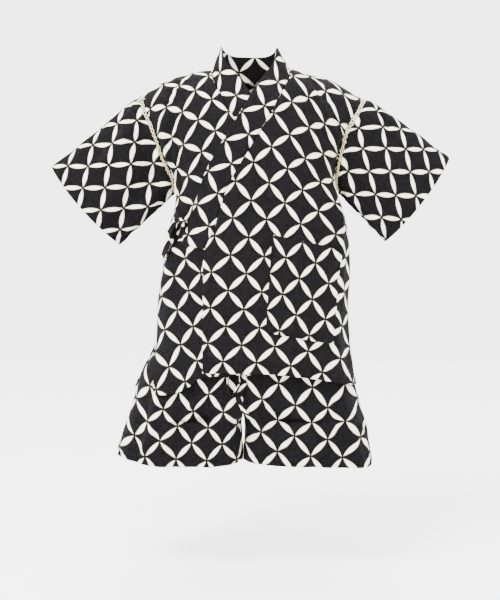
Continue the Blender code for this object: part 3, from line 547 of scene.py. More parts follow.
def cloth_piece(name, grid, flat, finish, wall, outward=True, flip=False, rows_closed=False, rounds=0):
    """A surface through a grid of points, with its flat map as UV and a wall from Solidify.

    Where the first and last column are the same points, they are joined and the piece is a tube. rows_closed
    says the same of the first and last row.
    """
    rows, columns = grid.shape[:2]
    ring = np.allclose(grid[:, 0], grid[:, -1])
    place = np.arange(rows * columns).reshape(rows, columns)
    corner = np.stack([place[:-1, :-1], place[:-1, 1:], place[1:, 1:], place[1:, :-1]], axis=-1)
    corner = corner.reshape(-1, 4)
    if flip:
        corner = corner[:, ::-1]
    wide = columns - 1 if ring else columns
    tall = rows - 1 if rows_closed else rows
    row, col = np.divmod(np.arange(rows * columns), columns)
    vertex = (row % tall if rows_closed else row) * wide + (col % wide if ring else col)
    made = smooth_piece(name, grid[:tall, :wide], vertex[corner].tolist(), finish)
    layer = made.data.uv_layers.new(name="cloth")
    layer.data.foreach_set("uv", flat.reshape(-1, 2)[corner.ravel()].ravel())
    solid = made.modifiers.new("wall", "SOLIDIFY")
    solid.thickness = wall
    solid.offset = 1.0 if outward else -1.0
    if rounds:
        soft = made.modifiers.new("round", "SUBSURF")
        soft.levels = rounds
        soft.render_levels = rounds
    return made


def add(tree, kind, values=(), **settings):
    """Adds a shader node, sets its properties, and gives its inputs values or other nodes' outputs."""
    made = tree.nodes.new(kind)
    for name, value in settings.items():
        setattr(made, name, value)
    for name, value in dict(values).items():
        if isinstance(value, bpy.types.NodeSocket):
            tree.links.new(value, made.inputs[name])
        else:
            made.inputs[name].default_value = value
    return made


def maths(tree, operation, *values):
    """The output of a Math node."""
    return add(tree, "ShaderNodeMath", enumerate(values), operation=operation).outputs[0]


def ramp(tree, value, low, high, to_low=0.0, to_high=1.0):
    """A smooth step of a value from low to high."""
    limits = {"Value": value, "From Min": low, "From Max": high, "To Min": to_low, "To Max": to_high}
    return add(tree, "ShaderNodeMapRange", limits, interpolation_type="SMOOTHSTEP").outputs["Result"]


def blend(tree, share, colour_a, colour_b):
    """The colour output of a Mix node."""
    made = add(tree, "ShaderNodeMix", data_type="RGBA")
    for socket, value in ((made.inputs[0], share), (made.inputs[6], colour_a), (made.inputs[7], colour_b)):
        if isinstance(value, bpy.types.NodeSocket):
            tree.links.new(value, socket)
        else:
            socket.default_value = value
    return made.outputs[2]


def noise(tree, spot, scale, detail):
    """The output of a Noise Texture node."""
    return add(tree, "ShaderNodeTexNoise", {"Vector": spot, "Scale": scale, "Detail": detail}).outputs["Fac"]


def bumped(tree, shader, height, strength, distance):
    """Gives a shader the normal of a Bump node."""
    bump = add(tree, "ShaderNodeBump", {"Height": height, "Strength": strength, "Distance": distance})
    tree.links.new(bump.outputs[0], shader.inputs["Normal"])


def new_group(name, inputs, outputs):
    """An empty shader group with named inputs and outputs."""
    group = bpy.data.node_groups.new(name, "ShaderNodeTree")
    for label, kind in inputs:
        group.interface.new_socket(name=label, in_out="INPUT", socket_type=kind)
    for label, kind in outputs:
        group.interface.new_socket(name=label, in_out="OUTPUT", socket_type=kind)
    return group, group.nodes.new("NodeGroupInput"), group.nodes.new("NodeGroupOutput")


# Linked circles: neighbouring circles overlap in pointed petals, one along each side of a square lattice. A
# petal is the space inside two arcs, whose radius and offset from its axis are shares of the lattice's side.
PRINT_SIDE = 0.0388
PETAL_RADIUS = 1.0433
PETAL_OFFSET = 0.9403
VECTOR, FLOAT = "NodeSocketVector", "NodeSocketFloat"

linked_circles, source, sink = new_group("linked_circles", (("Lattice", VECTOR),), (("Inside", FLOAT),))
axes = add(linked_circles, "ShaderNodeSeparateXYZ", {0: source.outputs["Lattice"]}).outputs


def petal(along, across):
    """How far inside a petal a point lies: the radius less its distance from the farther arc's centre."""
    du = maths(linked_circles, "SUBTRACT", maths(linked_circles, "FRACT", along), 0.5)
    nearest = maths(linked_circles, "ROUND", across)
    dv = maths(linked_circles, "ABSOLUTE", maths(linked_circles, "SUBTRACT", across, nearest))
    far = maths(linked_circles, "ADD", dv, PETAL_OFFSET)
    spot = add(linked_circles, "ShaderNodeCombineXYZ", {0: du, 1: far}).outputs[0]
    length = add(linked_circles, "ShaderNodeVectorMath", {0: spot}, operation="LENGTH").outputs["Value"]
    return maths(linked_circles, "SUBTRACT", PETAL_RADIUS, length)


inside = maths(linked_circles, "MAXIMUM", petal(axes[0], axes[1]), petal(axes[1], axes[0]))
linked_circles.links.new(inside, sink.inputs["Inside"])

# Slub yarn: thick and thin threads both ways, each a stretched noise, and the fine plain weave that they make
SLUB_THIN, SLUB_LONG, FLECK_SCALE, WEAVE_WAVES = 760.0, 46.0, 620.0, 1500.0
outputs = (("Slub", FLOAT), ("Fleck", FLOAT), ("Height", FLOAT))
slub_weave, source, sink = new_group("slub_weave", (("Cloth", VECTOR),), outputs)
cloth = source.outputs["Cloth"]
threads = []
for scale in ((SLUB_THIN, SLUB_LONG, 1.0), (SLUB_LONG, SLUB_THIN, 1.0)):
    drawn = add(slub_weave, "ShaderNodeVectorMath", {0: cloth, 1: scale}, operation="MULTIPLY").outputs[0]
    threads.append(noise(slub_weave, drawn, 1.0, 2.0))
both = maths(slub_weave, "MULTIPLY", maths(slub_weave, "ADD", threads[0], threads[1]), 0.5)
slub_weave.links.new(ramp(slub_weave, both, 0.36, 0.64), sink.inputs["Slub"])
fleck = noise(slub_weave, cloth, FLECK_SCALE, 3.0)
slub_weave.links.new(ramp(slub_weave, fleck, 0.46, 0.66), sink.inputs["Fleck"])
waves = []
for axis in add(slub_weave, "ShaderNodeSeparateXYZ", {0: cloth}).outputs[:2]:
    phase = maths(slub_weave, "MULTIPLY", axis, 2 * math.pi * WEAVE_WAVES)
    waves.append(maths(slub_weave, "SINE", phase))
weave = maths(slub_weave, "MULTIPLY", maths(slub_weave, "MULTIPLY", *waves), 0.25)
slub_weave.links.new(maths(slub_weave, "ADD", weave, both), sink.inputs["Height"])

CHARCOAL = (0.0012, 0.0010, 0.0010, 1)
CHARCOAL_FLECK = (0.0085, 0.0082, 0.0095, 1)
CREAM = (0.90, 0.88, 0.75, 1)
CREAM_SLUB = (0.50, 0.49, 0.39, 1)
CREAM_RIM = (0.50, 0.50, 0.34, 1)
INK_EDGE = (-0.008, 0.012)  # how far inside a petal its cream begins, and where it covers the ground
RIM_EDGE = (0.004, 0.040)  # how far inside a petal its darker rim ends
INK_WOBBLE = 0.030  # how far the yarns make a petal's edge uneven


def printed_cotton(name, turn, shift, stretch=(1.0, 1.0)):
    """Heathered charcoal cotton with linked circles in cream. turn, shift and stretch place the print."""
    made, tree, shader = new_finish(name)
    cloth = add(tree, "ShaderNodeUVMap", uv_map="cloth").outputs["UV"]
    weave = add(tree, "ShaderNodeGroup", node_tree=slub_weave)
    tree.links.new(cloth, weave.inputs["Cloth"])
    wobble = noise(tree, cloth, 900.0, 1.0)
    scale = (stretch[0] / PRINT_SIDE, stretch[1] / PRINT_SIDE, 1.0)
    lattice = add(tree, "ShaderNodeMapping", {"Vector": cloth, "Location": (*shift, 0.0),
                                             "Rotation": (0, 0, math.radians(turn)), "Scale": scale})
    pattern = add(tree, "ShaderNodeGroup", node_tree=linked_circles)
    tree.links.new(lattice.outputs[0], pattern.inputs["Lattice"])
    rough = maths(tree, "MULTIPLY", maths(tree, "SUBTRACT", wobble, 0.5), INK_WOBBLE)
    inside = maths(tree, "ADD", pattern.outputs["Inside"], rough)
    ink = ramp(tree, inside, *INK_EDGE)
    heart = ramp(tree, inside, *RIM_EDGE)
    ground = blend(tree, weave.outputs["Fleck"], CHARCOAL, CHARCOAL_FLECK)
    ground = blend(tree, maths(tree, "MULTIPLY", weave.outputs["Slub"], 0.35), ground, CHARCOAL_FLECK)
    light = blend(tree, ramp(tree, weave.outputs["Slub"], 0.55, 1.0, 0.0, 0.55), CREAM, CREAM_SLUB)
    light = blend(tree, heart, CREAM_RIM, light)
    tree.links.new(blend(tree, ink, ground, light), shader.inputs["Base Color"])
    tree.links.new(ramp(tree, weave.outputs["Slub"], 0.0, 1.0, 0.94, 0.80), shader.inputs["Roughness"])
    bumped(tree, shader, weave.outputs["Height"], 0.55, 0.0006)
    shader.inputs["Specular IOR Level"].default_value = 0.03
    shader.inputs["Sheen Weight"].default_value = 0.008
    shader.inputs["Sheen Roughness"].default_value = 0.5
    return made


def dress(piece, node):
    """The piece stands for a node and rides on the garment's one body."""
    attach(piece, "root")
    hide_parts(node)


STITCH_PITCH, STITCH_LENGTH = 0.0034, 0.0024
THREAD_RADIUS = 0.00022
STITCH_SIDES = 4
STITCH_RINGS = ((0.0, 0.25), (0.28, 1.0), (0.72, 1.0), (1.0, 0.25))  # place along a stitch, share of radius


def thread_material(name, colour, shade):
    """Matte sewing thread with fine light and dark fibres."""
    made, tree, shader = new_finish(name)
    spot = add(tree, "ShaderNodeTexCoord").outputs["Object"]
    fibre = noise(tree, spot, 2400.0, 2.0)
    tree.links.new(blend(tree, ramp(tree, fibre, 0.35, 0.65), shade, colour), shader.inputs["Base Color"])
    tree.links.new(ramp(tree, fibre, 0.3, 0.7, 0.9, 0.75), shader.inputs["Roughness"])
    shader.inputs["Specular IOR Level"].default_value = 0.05
    return made


def edge_line(grid, edge, distance):
    """Points and normals of a line on a grid at a distance from its top, bottom, left or right edge."""
    turned = grid.swapaxes(0, 1) if edge in ("left", "right") else grid
    turned = turned[::-1] if edge in ("bottom", "right") else turned
    across = unit(np.gradient(turned, axis=1))
    normal = unit(np.cross(np.gradient(turned, axis=0), across))
    run = run_of(turned)
    at = np.clip((run < distance).sum(axis=0) - 1, 0, len(turned) - 2)
    column = np.arange(turned.shape[1])
    share = ((distance - run[at, column]) / (run[at + 1, column] - run[at, column]))[:, None]
    return turned[at, column] * (1 - share) + turned[at + 1, column] * share, normal[at, column]


def circles(one_way, other_way, sides):
    """For each pair of directions, a circle of radius one with that many points in their plane."""
    angle = np.linspace(0, 2 * math.pi, sides, endpoint=False)[:, None]
    return one_way[:, None] * np.cos(angle) + other_way[:, None] * np.sin(angle)


def at_length(values, run, at):
    """Values of a line's points, such as their places or normals, at lengths along it."""
    return np.stack([np.interp(at, run, values[:, k]) for k in range(3)], axis=-1)


def stitches(line, normal, out_way, wall):
    """Points and faces of a row of stitches: each a short spindle of thread that lies on the cloth.

    out_way is a rough direction out of the cloth, which settles the sign of the normals.
    """
    normal = normal * np.sign((normal * out_way).sum(axis=-1, keepdims=True))
    run = run_of(line)
    starts = np.arange(STITCH_PITCH / 2, run[-1] - STITCH_PITCH, STITCH_PITCH)
    first, last = at_length(line, run, starts), at_length(line, run, starts + STITCH_LENGTH)
    up = unit(at_length(normal, run, starts))
    circle = circles(unit(np.cross(last - first, up)), up, STITCH_SIDES)
    rings = []
    for place, size in STITCH_RINGS:
        middle = first + (last - first) * place + up * (wall + THREAD_RADIUS * 0.5 * size)
        rings.append(middle[:, None] + circle * THREAD_RADIUS * size)
    one = np.array(ring_faces(len(STITCH_RINGS), STITCH_SIDES, "capped"))[:, ::-1]
    offsets = np.arange(len(starts))[:, None, None] * len(STITCH_RINGS) * STITCH_SIDES
    return np.stack(rings, axis=1).reshape(-1, 3), (one + offsets).reshape(-1, STITCH_SIDES).tolist()


def joined(name, parts, finish):
    """One object from several sets of points and faces."""
    faces, total = [], 0
    for points, part_faces in parts:
        faces += [[corner + total for corner in face] for face in part_faces]
        total += len(points)
    return smooth_piece(name, np.concatenate([points for points, _ in parts]), faces, finish)


def sew(name, rows):
    """One object with rows of stitches. A row has its line, its normals, a way out and the wall under it."""
    made = joined(name, [stitches(*row) for row in rows], dark_thread)
    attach(made, "root")


dark_thread = thread_material("dark_thread", (0.0045, 0.0042, 0.0048, 1), (0.0015, 0.0014, 0.0015, 1))
TO_FRONT, TO_BACK = np.array([0.0, -1.0, 0.0]), np.array([0.0, 1.0, 0.0])
BODY_HEM = 0.020
HEM_STITCH = BODY_HEM - STITCH_IN
BACK_COLUMNS = 161


def back_edges(drop):
    """Turns of the back's side edges, the wearer's left one first."""
    return edge_turn(drop, LEFT, BACK), edge_turn(drop, RIGHT, BACK)


back_across = np.linspace(0, 1, BACK_COLUMNS)
back_turn, back_drop, _ = panel_places(back_edges, BACK, HEM_BACK, back_across, scoop=1)
back_plain = plain_torso(back_turn, back_drop, BACK)
back_hem = read(HEM_BACK, "drop", back_plain[..., 0]) - back_drop
back_grid = torso(back_turn, back_drop, BACK, hem_relief(back_hem, back_plain[..., 0], BODY_HEM, 11))

# The flat map is that of a panel with a straight neck edge, read at the real drops of each column
square_turn, square_drop, _ = panel_places(back_edges, BACK, HEM_BACK, back_across)
square = plain_torso(square_turn, square_drop, BACK)
square_flat = cloth_map(square, -crossing(square, 0.0)[:, None])
back_flat = np.stack([[np.interp(back_drop[:, k], square_drop[:, k], square_flat[:, k, axis])
                       for k in range(BACK_COLUMNS)] for axis in range(2)]).transpose(2, 1, 0)
back_flat += squeeze(back_plain[..., 0], back_plain[..., 2], BACK)
back_cotton = printed_cotton("cotton_back", 45, (0.20, 0.10), (1.06, 1.00))
back = cloth_piece("back_panel", back_grid, back_flat, back_cotton, CLOTH, flip=True)
dress(back, "back")
sew("stitches_back", [(*edge_line(back_grid, "bottom", HEM_STITCH), TO_BACK, CLOTH)])


# Fronts of the top
# The wearer's left front laps over the right one. Each is one panel from the shoulder line to the hem, with
# its slanting edge sewn into the collar band and turned in below it.

OPENING = (
    ("drop", "x"),
    (0.000, 0.0630),
    (0.018, 0.0595),
    (0.040, 0.0480),
    (0.076, 0.0285),
    (0.113, 0.0069),
    (0.154, -0.0180),
    (0.182, -0.0337),
    (0.212, -0.0442),
    (0.250, -0.0556),
    (0.281, -0.0686),
    (0.310, -0.0720),
    (0.510, -0.0740),
)
HEM_LEFT_FRONT = (
    ("x", "drop"),
    (-0.075, 0.4700),
    (0.020, 0.4705),
    (0.080, 0.4775),
    (0.120, 0.4850),
    (0.170, 0.4990),
)
HEM_RIGHT_FRONT = (
    ("x", "drop"),
    (-0.154, 0.5040),
    (-0.139, 0.5065),
    (-0.105, 0.4980),
    (-0.072, 0.4760),
    (0.075, 0.4680),
)
FRONT_COLUMNS = 121
PRINT_DROOP, DROOP_END = 0.32, 0.22  # slope of the print down to the arm, and the drop where it ends
EDGE_HEM = 0.014


def over_lift(turn, drop):
    """How far the wearer's left front stands off to clear the right front and its collar."""
    middle, reach, _ = spans(drop, FRONT)
    share = (plain_torso(turn, drop, FRONT)[..., 0] - middle) / reach
    return (BAND + LAYER) * ease(drop / 0.030) * ease((0.96 - share) / 0.24)


def opening_x(drop, side):
    """x of a front's slanting edge."""
    return side * read(OPENING, "x", drop)


def front_grid(side, hem):
    """Grid of a front from its inner edge to its armhole, side seam and vent, and its flat map."""
    def edges(drop):
        """Turns of the front's inner edge and of its outer one."""
        return turn_at(opening_x(drop, side), drop, FRONT), edge_turn(drop, side, FRONT)

    turn, drop, x = panel_places(edges, FRONT, hem, np.linspace(0, 1, FRONT_COLUMNS) ** 0.94)
    below_band = ease((drop - COLLAR_END) / 0.010)
    lift = hem_relief(read(hem, "drop", x) - drop, x, BODY_HEM, 21 + side)
    lift = lift + hem_relief(np.abs(x - opening_x(drop, side)), drop, EDGE_HEM, 31) * below_band
    if side == LEFT:
        lift = lift + over_lift(turn, drop)
    plain = plain_torso(turn, drop, FRONT)
    flat = cloth_map(plain, side * plain[:, :1, 0])
    flat[..., 1] += PRINT_DROOP * np.abs(x) * ease((DROOP_END - drop) / DROOP_END)
    flat = flat * np.array([side, 1.0]) + squeeze(plain[..., 0], plain[..., 2], FRONT)
    return torso(turn, drop, FRONT, lift), flat


left_front_grid, left_flat = front_grid(LEFT, HEM_LEFT_FRONT)
over_cotton = printed_cotton("cotton_front_over", 42.3, (0.29, 0.07), (1.09, 1.00))
left_flat = leaning(left_flat, -0.11)
front_left = cloth_piece("front_over", left_front_grid, left_flat, over_cotton, CLOTH, flip=True)
dress(front_left, "front_left")

right_front_grid, right_flat = front_grid(RIGHT, HEM_RIGHT_FRONT)
under_cotton = printed_cotton("cotton_front_under", 51.6, (0.13, 0.93), (1.25, 0.99))
right_flat = leaning(right_flat, 0.20)
front_right = cloth_piece("front_under", right_front_grid, right_flat, under_cotton, CLOTH)
dress(front_right, "front_right")
below = slice(int(np.searchsorted(ROWS, COLLAR_END)) + 2, None)
for word, grid in (("over", left_front_grid), ("under", right_front_grid)):
    rows = [edge_line(grid, "bottom", HEM_STITCH), edge_line(grid[below], "left", EDGE_HEM - STITCH_IN)]
    sew(f"stitches_front_{word}", [(*row, TO_FRONT, CLOTH) for row in rows])


# Collar
# One straight band of the same cotton, folded along its free edge and sewn to both fronts and the back neck.
# It lies flat on the chest and stands up behind the neck.

COLLAR_WIDTH = 0.041
BAND_GAP = 0.0005  # from the panel's edge to the band
COLLAR_LEAN = {LEFT: math.radians(30), RIGHT: math.radians(20)}
NECK_LEAN = math.radians(14)
STAND_DROP = 0.056  # above this drop the band lifts off the chest and begins to stand
NECK_EASE = 0.0006  # room between the standing band and the panel's edge
COLLAR_CELLS = 12
NECK_MIDDLE = np.array([0.0, 0.0, -0.060])  # a point inside the neck, for telling the band's outer face


def opening_edge(side, hem):
    """Drops of the grid lines where they meet a front's inner edge, as far down as the collar goes."""
    nominal = ROWS[ROWS <= COLLAR_END + 0.0001]
    return level_drop(nominal, hem, opening_x(nominal, side))


def chest_band(drop, side):
    """Points of the band on the chest, from the seam to its free edge.

    The free edge lies one width from the seam, square to it in the flat cloth. Each step across is shortened
    in x where the chest turns away to the side.
    """
    step = 0.002
    x = read(OPENING, "x", drop)
    slope = read(OPENING, "x", drop + step) - read(OPENING, "x", drop - step)
    size = np.hypot(slope, 2 * step)
    out_x, out_drop = -2 * step / size, slope / size
    place_x, place_drop = side * x, drop
    band_x, band_drop = [], []
    for reach in [BAND_GAP] + [COLLAR_WIDTH / COLLAR_CELLS] * COLLAR_CELLS:
        normal = torso_normal(turn_at(place_x, place_drop, FRONT), place_drop, FRONT)
        flatness = np.abs(normal[..., 1]) / np.hypot(normal[..., 0], normal[..., 1])
        place_x = place_x + side * reach * out_x * flatness
        place_drop = np.maximum(place_drop + reach * out_drop, 0.0)
        band_x.append(place_x)
        band_drop.append(place_drop)
    band_x, band_drop = np.stack(band_x, axis=-1), np.stack(band_drop, axis=-1)
    turn = turn_at(band_x, band_drop, FRONT)
    lift = over_lift(turn, band_drop) if side == LEFT else 0.0
    return torso(turn, band_drop, FRONT, lift)


def standing_band(seam, lean):
    """Points of the band where it stands: from the seam up, leaning in towards the middle of the neck."""
    inward = unit((np.array([0.0, -0.006, 0.0]) - seam) * np.array([1.0, 1.0, 0.0]))
    way = inward * np.sin(lean)[:, None] + np.array([0.0, 0.0, 1.0]) * np.cos(lean)[:, None]
    start = seam + inward * (BAND + SEAM + NECK_EASE)
    return start[:, None, :] + way[:, None, :] * (COLLAR_WIDTH * np.linspace(0, 1, COLLAR_CELLS + 1)[:, None])


def collar_grid():
    """One band: up the over front, round the back of the neck and down the under front."""
    halves = []
    for side, hem in ((LEFT, HEM_LEFT_FRONT), (RIGHT, HEM_RIGHT_FRONT)):
        chest = opening_edge(side, hem)[::-1]
        flat = chest_band(chest, side)
        seam = torso(turn_at(opening_x(chest, side), chest, FRONT), chest, FRONT)
        up = standing_band(seam, np.full(len(chest), COLLAR_LEAN[side]))
        stand = (1 - ease((chest - 0.004) / STAND_DROP))[:, None, None]
        halves.append(flat * (1 - stand) + up * stand)
    x = back_plain[0, :, 0]
    behind_neck = np.abs(x) < NECK_HALF - 0.003
    x = x[behind_neck]
    seam = torso(back_turn[0], back_drop[0], BACK)[behind_neck]
    leans = np.where(x > 0, COLLAR_LEAN[LEFT], COLLAR_LEAN[RIGHT])
    behind = standing_band(seam, NECK_LEAN + (leans - NECK_LEAN) * (np.abs(x) / NECK_HALF) ** 2)
    return np.concatenate([halves[0], behind, halves[1][::-1]])


band_grid = collar_grid()
band_length = run_of(band_grid[:, COLLAR_CELLS // 2])
band_across = np.linspace(0, COLLAR_WIDTH, COLLAR_CELLS + 1)
band_flat = np.stack(np.meshgrid(band_across, band_length), axis=-1)
band_cotton = printed_cotton("cotton_collar", 46, (0.63, 0.03), (1.07, 1.06))
collar = cloth_piece("collar_band", band_grid, band_flat, band_cotton, BAND, flip=True, rounds=1)
dress(collar, "collar")
band_out = unit(np.cross(np.gradient(band_grid, axis=0), np.gradient(band_grid, axis=1)))[:, 1]
band_out = band_out * np.sign((band_out * (band_grid[:, 1] - NECK_MIDDLE)).sum(axis=-1, keepdims=True))
sew("stitches_collar", [(*edge_line(band_grid, "left", 0.002), band_out, BAND)])


# Patch pocket
# A square patch with a turned top edge, stitched down round its other three sides on the wearer's left front.

# Its corners, as x and drop: the top ones first, and of each pair the one nearer the middle
POCKET = (
    (0.0316, 0.2573),
    (0.1350, 0.2800),
    (0.0218, 0.4060),
    (0.1245, 0.4277),
)
POCKET_CELLS = 44
POCKET_TOP_HEM, POCKET_SIDE_HEM = 0.018, 0.006
pocket_corners = np.array(POCKET)
share_u, share_v = np.meshgrid(np.linspace(0, 1, POCKET_CELLS), np.linspace(0, 1, POCKET_CELLS))


def pocket_place(u, v):
    """x and drop of a point of the pocket: the corners blended across by u and down by v."""
    u, v = u[..., None], v[..., None]
    top = pocket_corners[0] * (1 - u) + pocket_corners[1] * u
    bottom = pocket_corners[2] * (1 - u) + pocket_corners[3] * u
    return top * (1 - v) + bottom * v


pocket_wide, pocket_tall = (float(np.linalg.norm(pocket_corners[k] - pocket_corners[0])) for k in (1, 2))
pocket_xd = pocket_place(share_u, share_v)
pocket_turn = turn_at(pocket_xd[..., 0], pocket_xd[..., 1], FRONT)
from_top = share_v * pocket_tall
from_sides = np.minimum(np.minimum(share_u, 1 - share_u) * pocket_wide, (1 - share_v) * pocket_tall)
pocket_lift = over_lift(pocket_turn, pocket_xd[..., 1]) + CLOTH + LAYER
pocket_lift = pocket_lift + hem_relief(from_top, pocket_xd[..., 0], POCKET_TOP_HEM, 41)
pocket_lift = pocket_lift + hem_relief(from_sides, share_u + share_v, POCKET_SIDE_HEM, 42)
pocket_grid = torso(pocket_turn, pocket_xd[..., 1], FRONT, pocket_lift)
pocket_flat = np.stack([share_u * pocket_wide, -share_v * pocket_tall], axis=-1)
pocket_cotton = printed_cotton("cotton_pocket", 43.7, (0.92, 0.03), (1.21, 0.98))
pocket_flat = leaning(pocket_flat, -0.035)
pocket = cloth_piece("patch_pocket", pocket_grid, pocket_flat, pocket_cotton, CLOTH, flip=True, rounds=1)
dress(pocket, "pocket")
pocket_rows = (("left", 0.003), ("right", 0.003), ("bottom", 0.003), ("top", POCKET_TOP_HEM - STITCH_IN))
sew("stitches_pocket", [(*edge_line(pocket_grid, edge, far), TO_FRONT, CLOTH) for edge, far in pocket_rows])


# Sleeves
# Each is one straight panel folded at the top and sewn under the arm, with a hemmed cuff that hangs as a flat
# oval. Openwork lacing joins it to the body.

CUFF_CORNERS = {  # x and z of each cuff's top and bottom corner
    RIGHT: ((-0.316, -0.152), (-0.209, -0.275)),
    LEFT: ((0.314, -0.139), (0.214, -0.270)),
}
CUFF_HALF = 0.031  # half the oval's thickness, front to back
CUFF_BOW = 0.006  # how far the middle of the cuff reaches past its corners
CUFF_FORWARD = -0.006
CUFF_HEM = 0.018
LACE_WIDTH = 0.0052
LACE_GAP = 0.0006  # from the lacing to the cloth on either side
ARMPIT_EASE = 0.0016  # room between the armpit and what is sewn there
CROWN = {RIGHT: (0.0050, 3.0), LEFT: (0.0064, 0.5)}  # how far the top is puffed out, and how fast that fades

# Large folds of the sleeves: side, theta and reach of the start, the same of the end, width and depth
SLEEVE_FOLDS = (
    (RIGHT, 0.55, 0.02, 1.90, 0.30, 0.22, -0.0050),
    (RIGHT, 0.85, 0.05, 1.15, 0.75, 0.20, 0.0040),
    (RIGHT, 2.20, 0.05, 2.55, 0.90, 0.22, 0.0040),
    (RIGHT, 4.10, 0.05, 4.50, 0.80, 0.26, 0.0045),
    (RIGHT, 5.20, 0.02, 4.70, 0.45, 0.24, -0.0045),
    (LEFT, 0.80, 0.04, 1.70, 0.55, 0.22, -0.0045),
    (LEFT, 2.10, 0.05, 2.60, 0.85, 0.24, 0.0045),
    (LEFT, 4.00, 0.05, 4.40, 0.85, 0.26, -0.0045),
    (LEFT, 5.25, 0.02, 4.80, 0.50, 0.24, 0.0045),
)

# Small creases of the sleeves: side, metres out from the armhole and metres round from the top edge of the
# start, the same of the end, bow, width and depth
ROUND, OUT = 0.055, 0.155  # metres for one radian of turn, and for the whole way to the cuff
SLEEVE_CREASES = (
    (RIGHT, 0.022, 0.040, 0.018, 0.132, 0.010, 0.0050, -0.0050),
    (RIGHT, 0.034, 0.034, 0.036, 0.120, 0.012, 0.0060, 0.0040),
    (RIGHT, 0.012, 0.016, 0.070, 0.034, -0.004, 0.0060, -0.0030),
    (RIGHT, 0.040, 0.140, 0.120, 0.150, 0.006, 0.0070, 0.0024),
    (RIGHT, 0.020, 0.300, 0.026, 0.210, -0.008, 0.0060, -0.0040),
    (RIGHT, 0.034, 0.290, 0.080, 0.240, 0.006, 0.0070, 0.0030),
    (LEFT, 0.014, 0.018, 0.066, 0.058, 0.006, 0.0060, -0.0045),
    (LEFT, 0.050, 0.050, 0.104, 0.078, 0.006, 0.0070, -0.0040),
    (LEFT, 0.030, 0.050, 0.090, 0.092, 0.006, 0.0080, 0.0034),
    (LEFT, 0.020, 0.140, 0.090, 0.150, 0.006, 0.0060, 0.0026),
    (LEFT, 0.018, 0.320, 0.060, 0.270, 0.006, 0.0060, -0.0040),
    (LEFT, 0.030, 0.250, 0.090, 0.230, 0.006, 0.0070, 0.0034),
)


def armhole(theta, side):
    """The armhole's edge at the cloth's outer face.

    theta runs from 0 at the shoulder down the front edge to pi at the armpit, and up the back edge to 2 pi.
    """
    theta = np.mod(theta, 2 * math.pi)
    drop = ARM_DROP * (1 - np.cos(theta)) / 2
    lift = CLOTH + ARMPIT_EASE * ease(0.5 - np.cos(theta))
    front = torso(edge_turn(drop, side, FRONT), drop, FRONT, lift)
    back = torso(edge_turn(drop, side, BACK), drop, BACK, lift)
    return np.where((theta <= math.pi)[:, None], front, back)


def cuff(theta, side):
    """The cuff's oval: its middle plus half its length times cos(theta) plus half its width times sin(theta).

    Its middle also reaches out, by CUFF_BOW times the square of sin(theta).
    """
    top, bottom = (np.array([x, CUFF_FORWARD, z]) for x, z in CUFF_CORNERS[side])
    half = (top - bottom) / 2
    outward = unit(np.array([side * abs(half[2]), 0.0, -abs(half[0])]))
    c, s = np.cos(theta)[:, None], np.sin(theta)[:, None]
    oval = (top + bottom) / 2 + half * c + np.array([0.0, -CUFF_HALF, 0.0]) * s
    return oval + outward * CUFF_BOW * s * s


def sleeve_line(theta, far, side):
    """Points a share of the way from the armhole to the cuff, on straight lines."""
    start, end = armhole(theta, side), cuff(theta, side)
    return start[None] * (1 - far)[..., None] + end[None] * far[..., None]


def sleeve(theta, reach, side, lift=0.0, folded=1.0):
    """Outer face of a sleeve or its lacing, with a share of its folds, at shares of the way to the cuff.

    reach has a row for each line round the sleeve and a column for each theta, or one for all.
    """
    start, end = armhole(theta, side), cuff(theta, side)
    length = np.linalg.norm(end - start, axis=-1)
    clear = LACE_GAP + ARMPIT_EASE * ease(-0.6 - np.cos(theta))
    far = (clear[None, :] + reach * (length - clear)[None, :]) / length[None, :]
    grid = sleeve_line(theta, far, side)
    height = relief(theta[None, :], far, side, SLEEVE_FOLDS)
    height += relief(far * OUT, theta[None, :] * ROUND, side, (), SLEEVE_CREASES)
    height += rumple(far * OUT, np.sin(theta)[None, :] * ROUND * 2, 51 + side, 0.060, 0.0006)
    height *= ease(far / 0.10) * ease((1.10 - far) / 0.3) * folded
    rise, fade = CROWN[side]
    height += rise * ease((np.cos(theta) - 0.3) / 0.7) * ease(far / 0.12) * np.clip(1 - far, 0, 1) ** fade
    across = sleeve_line(theta + 0.01, far, side) - sleeve_line(theta - 0.01, far, side)
    normal = unit(np.cross(across, (end - start)[None]) * side)
    return grid + normal * (height + lift)[..., None]


def sleeve_map(grid, first):
    """Flat map of a sleeve: out along its top edge, then round at the angle of each ring to that edge.

    The back half is the front half mirrored at the top edge, where the cloth is folded. The way out is
    measured from the first row that shows.
    """
    top, bottom = grid[:, 0], grid[:, grid.shape[1] // 2]
    edge = unit(top[-1] - top[first])
    out = (top - top[first]) @ edge
    slant = (unit(bottom - top) @ edge)[:, None]
    ring = run_of(grid, 1)
    total = ring[:, -1:]
    front = ring <= total / 2
    length = np.where(front, ring, total - ring)
    across = np.sqrt(1 - slant**2) * length
    return np.stack([out[:, None] + slant * length, np.where(front, -across, across)], axis=-1)


def lace_shares(theta, side):
    """Shares of the way to the cuff where the lacing ends and the sleeve begins, and its length."""
    length = np.linalg.norm(cuff(theta, side) - armhole(theta, side), axis=-1)
    room = LACE_GAP + ARMPIT_EASE * ease(-4 - 5 * np.cos(theta))
    return LACE_WIDTH / length.mean(), (LACE_WIDTH + LACE_GAP + room)[None, :] / length.mean(), length


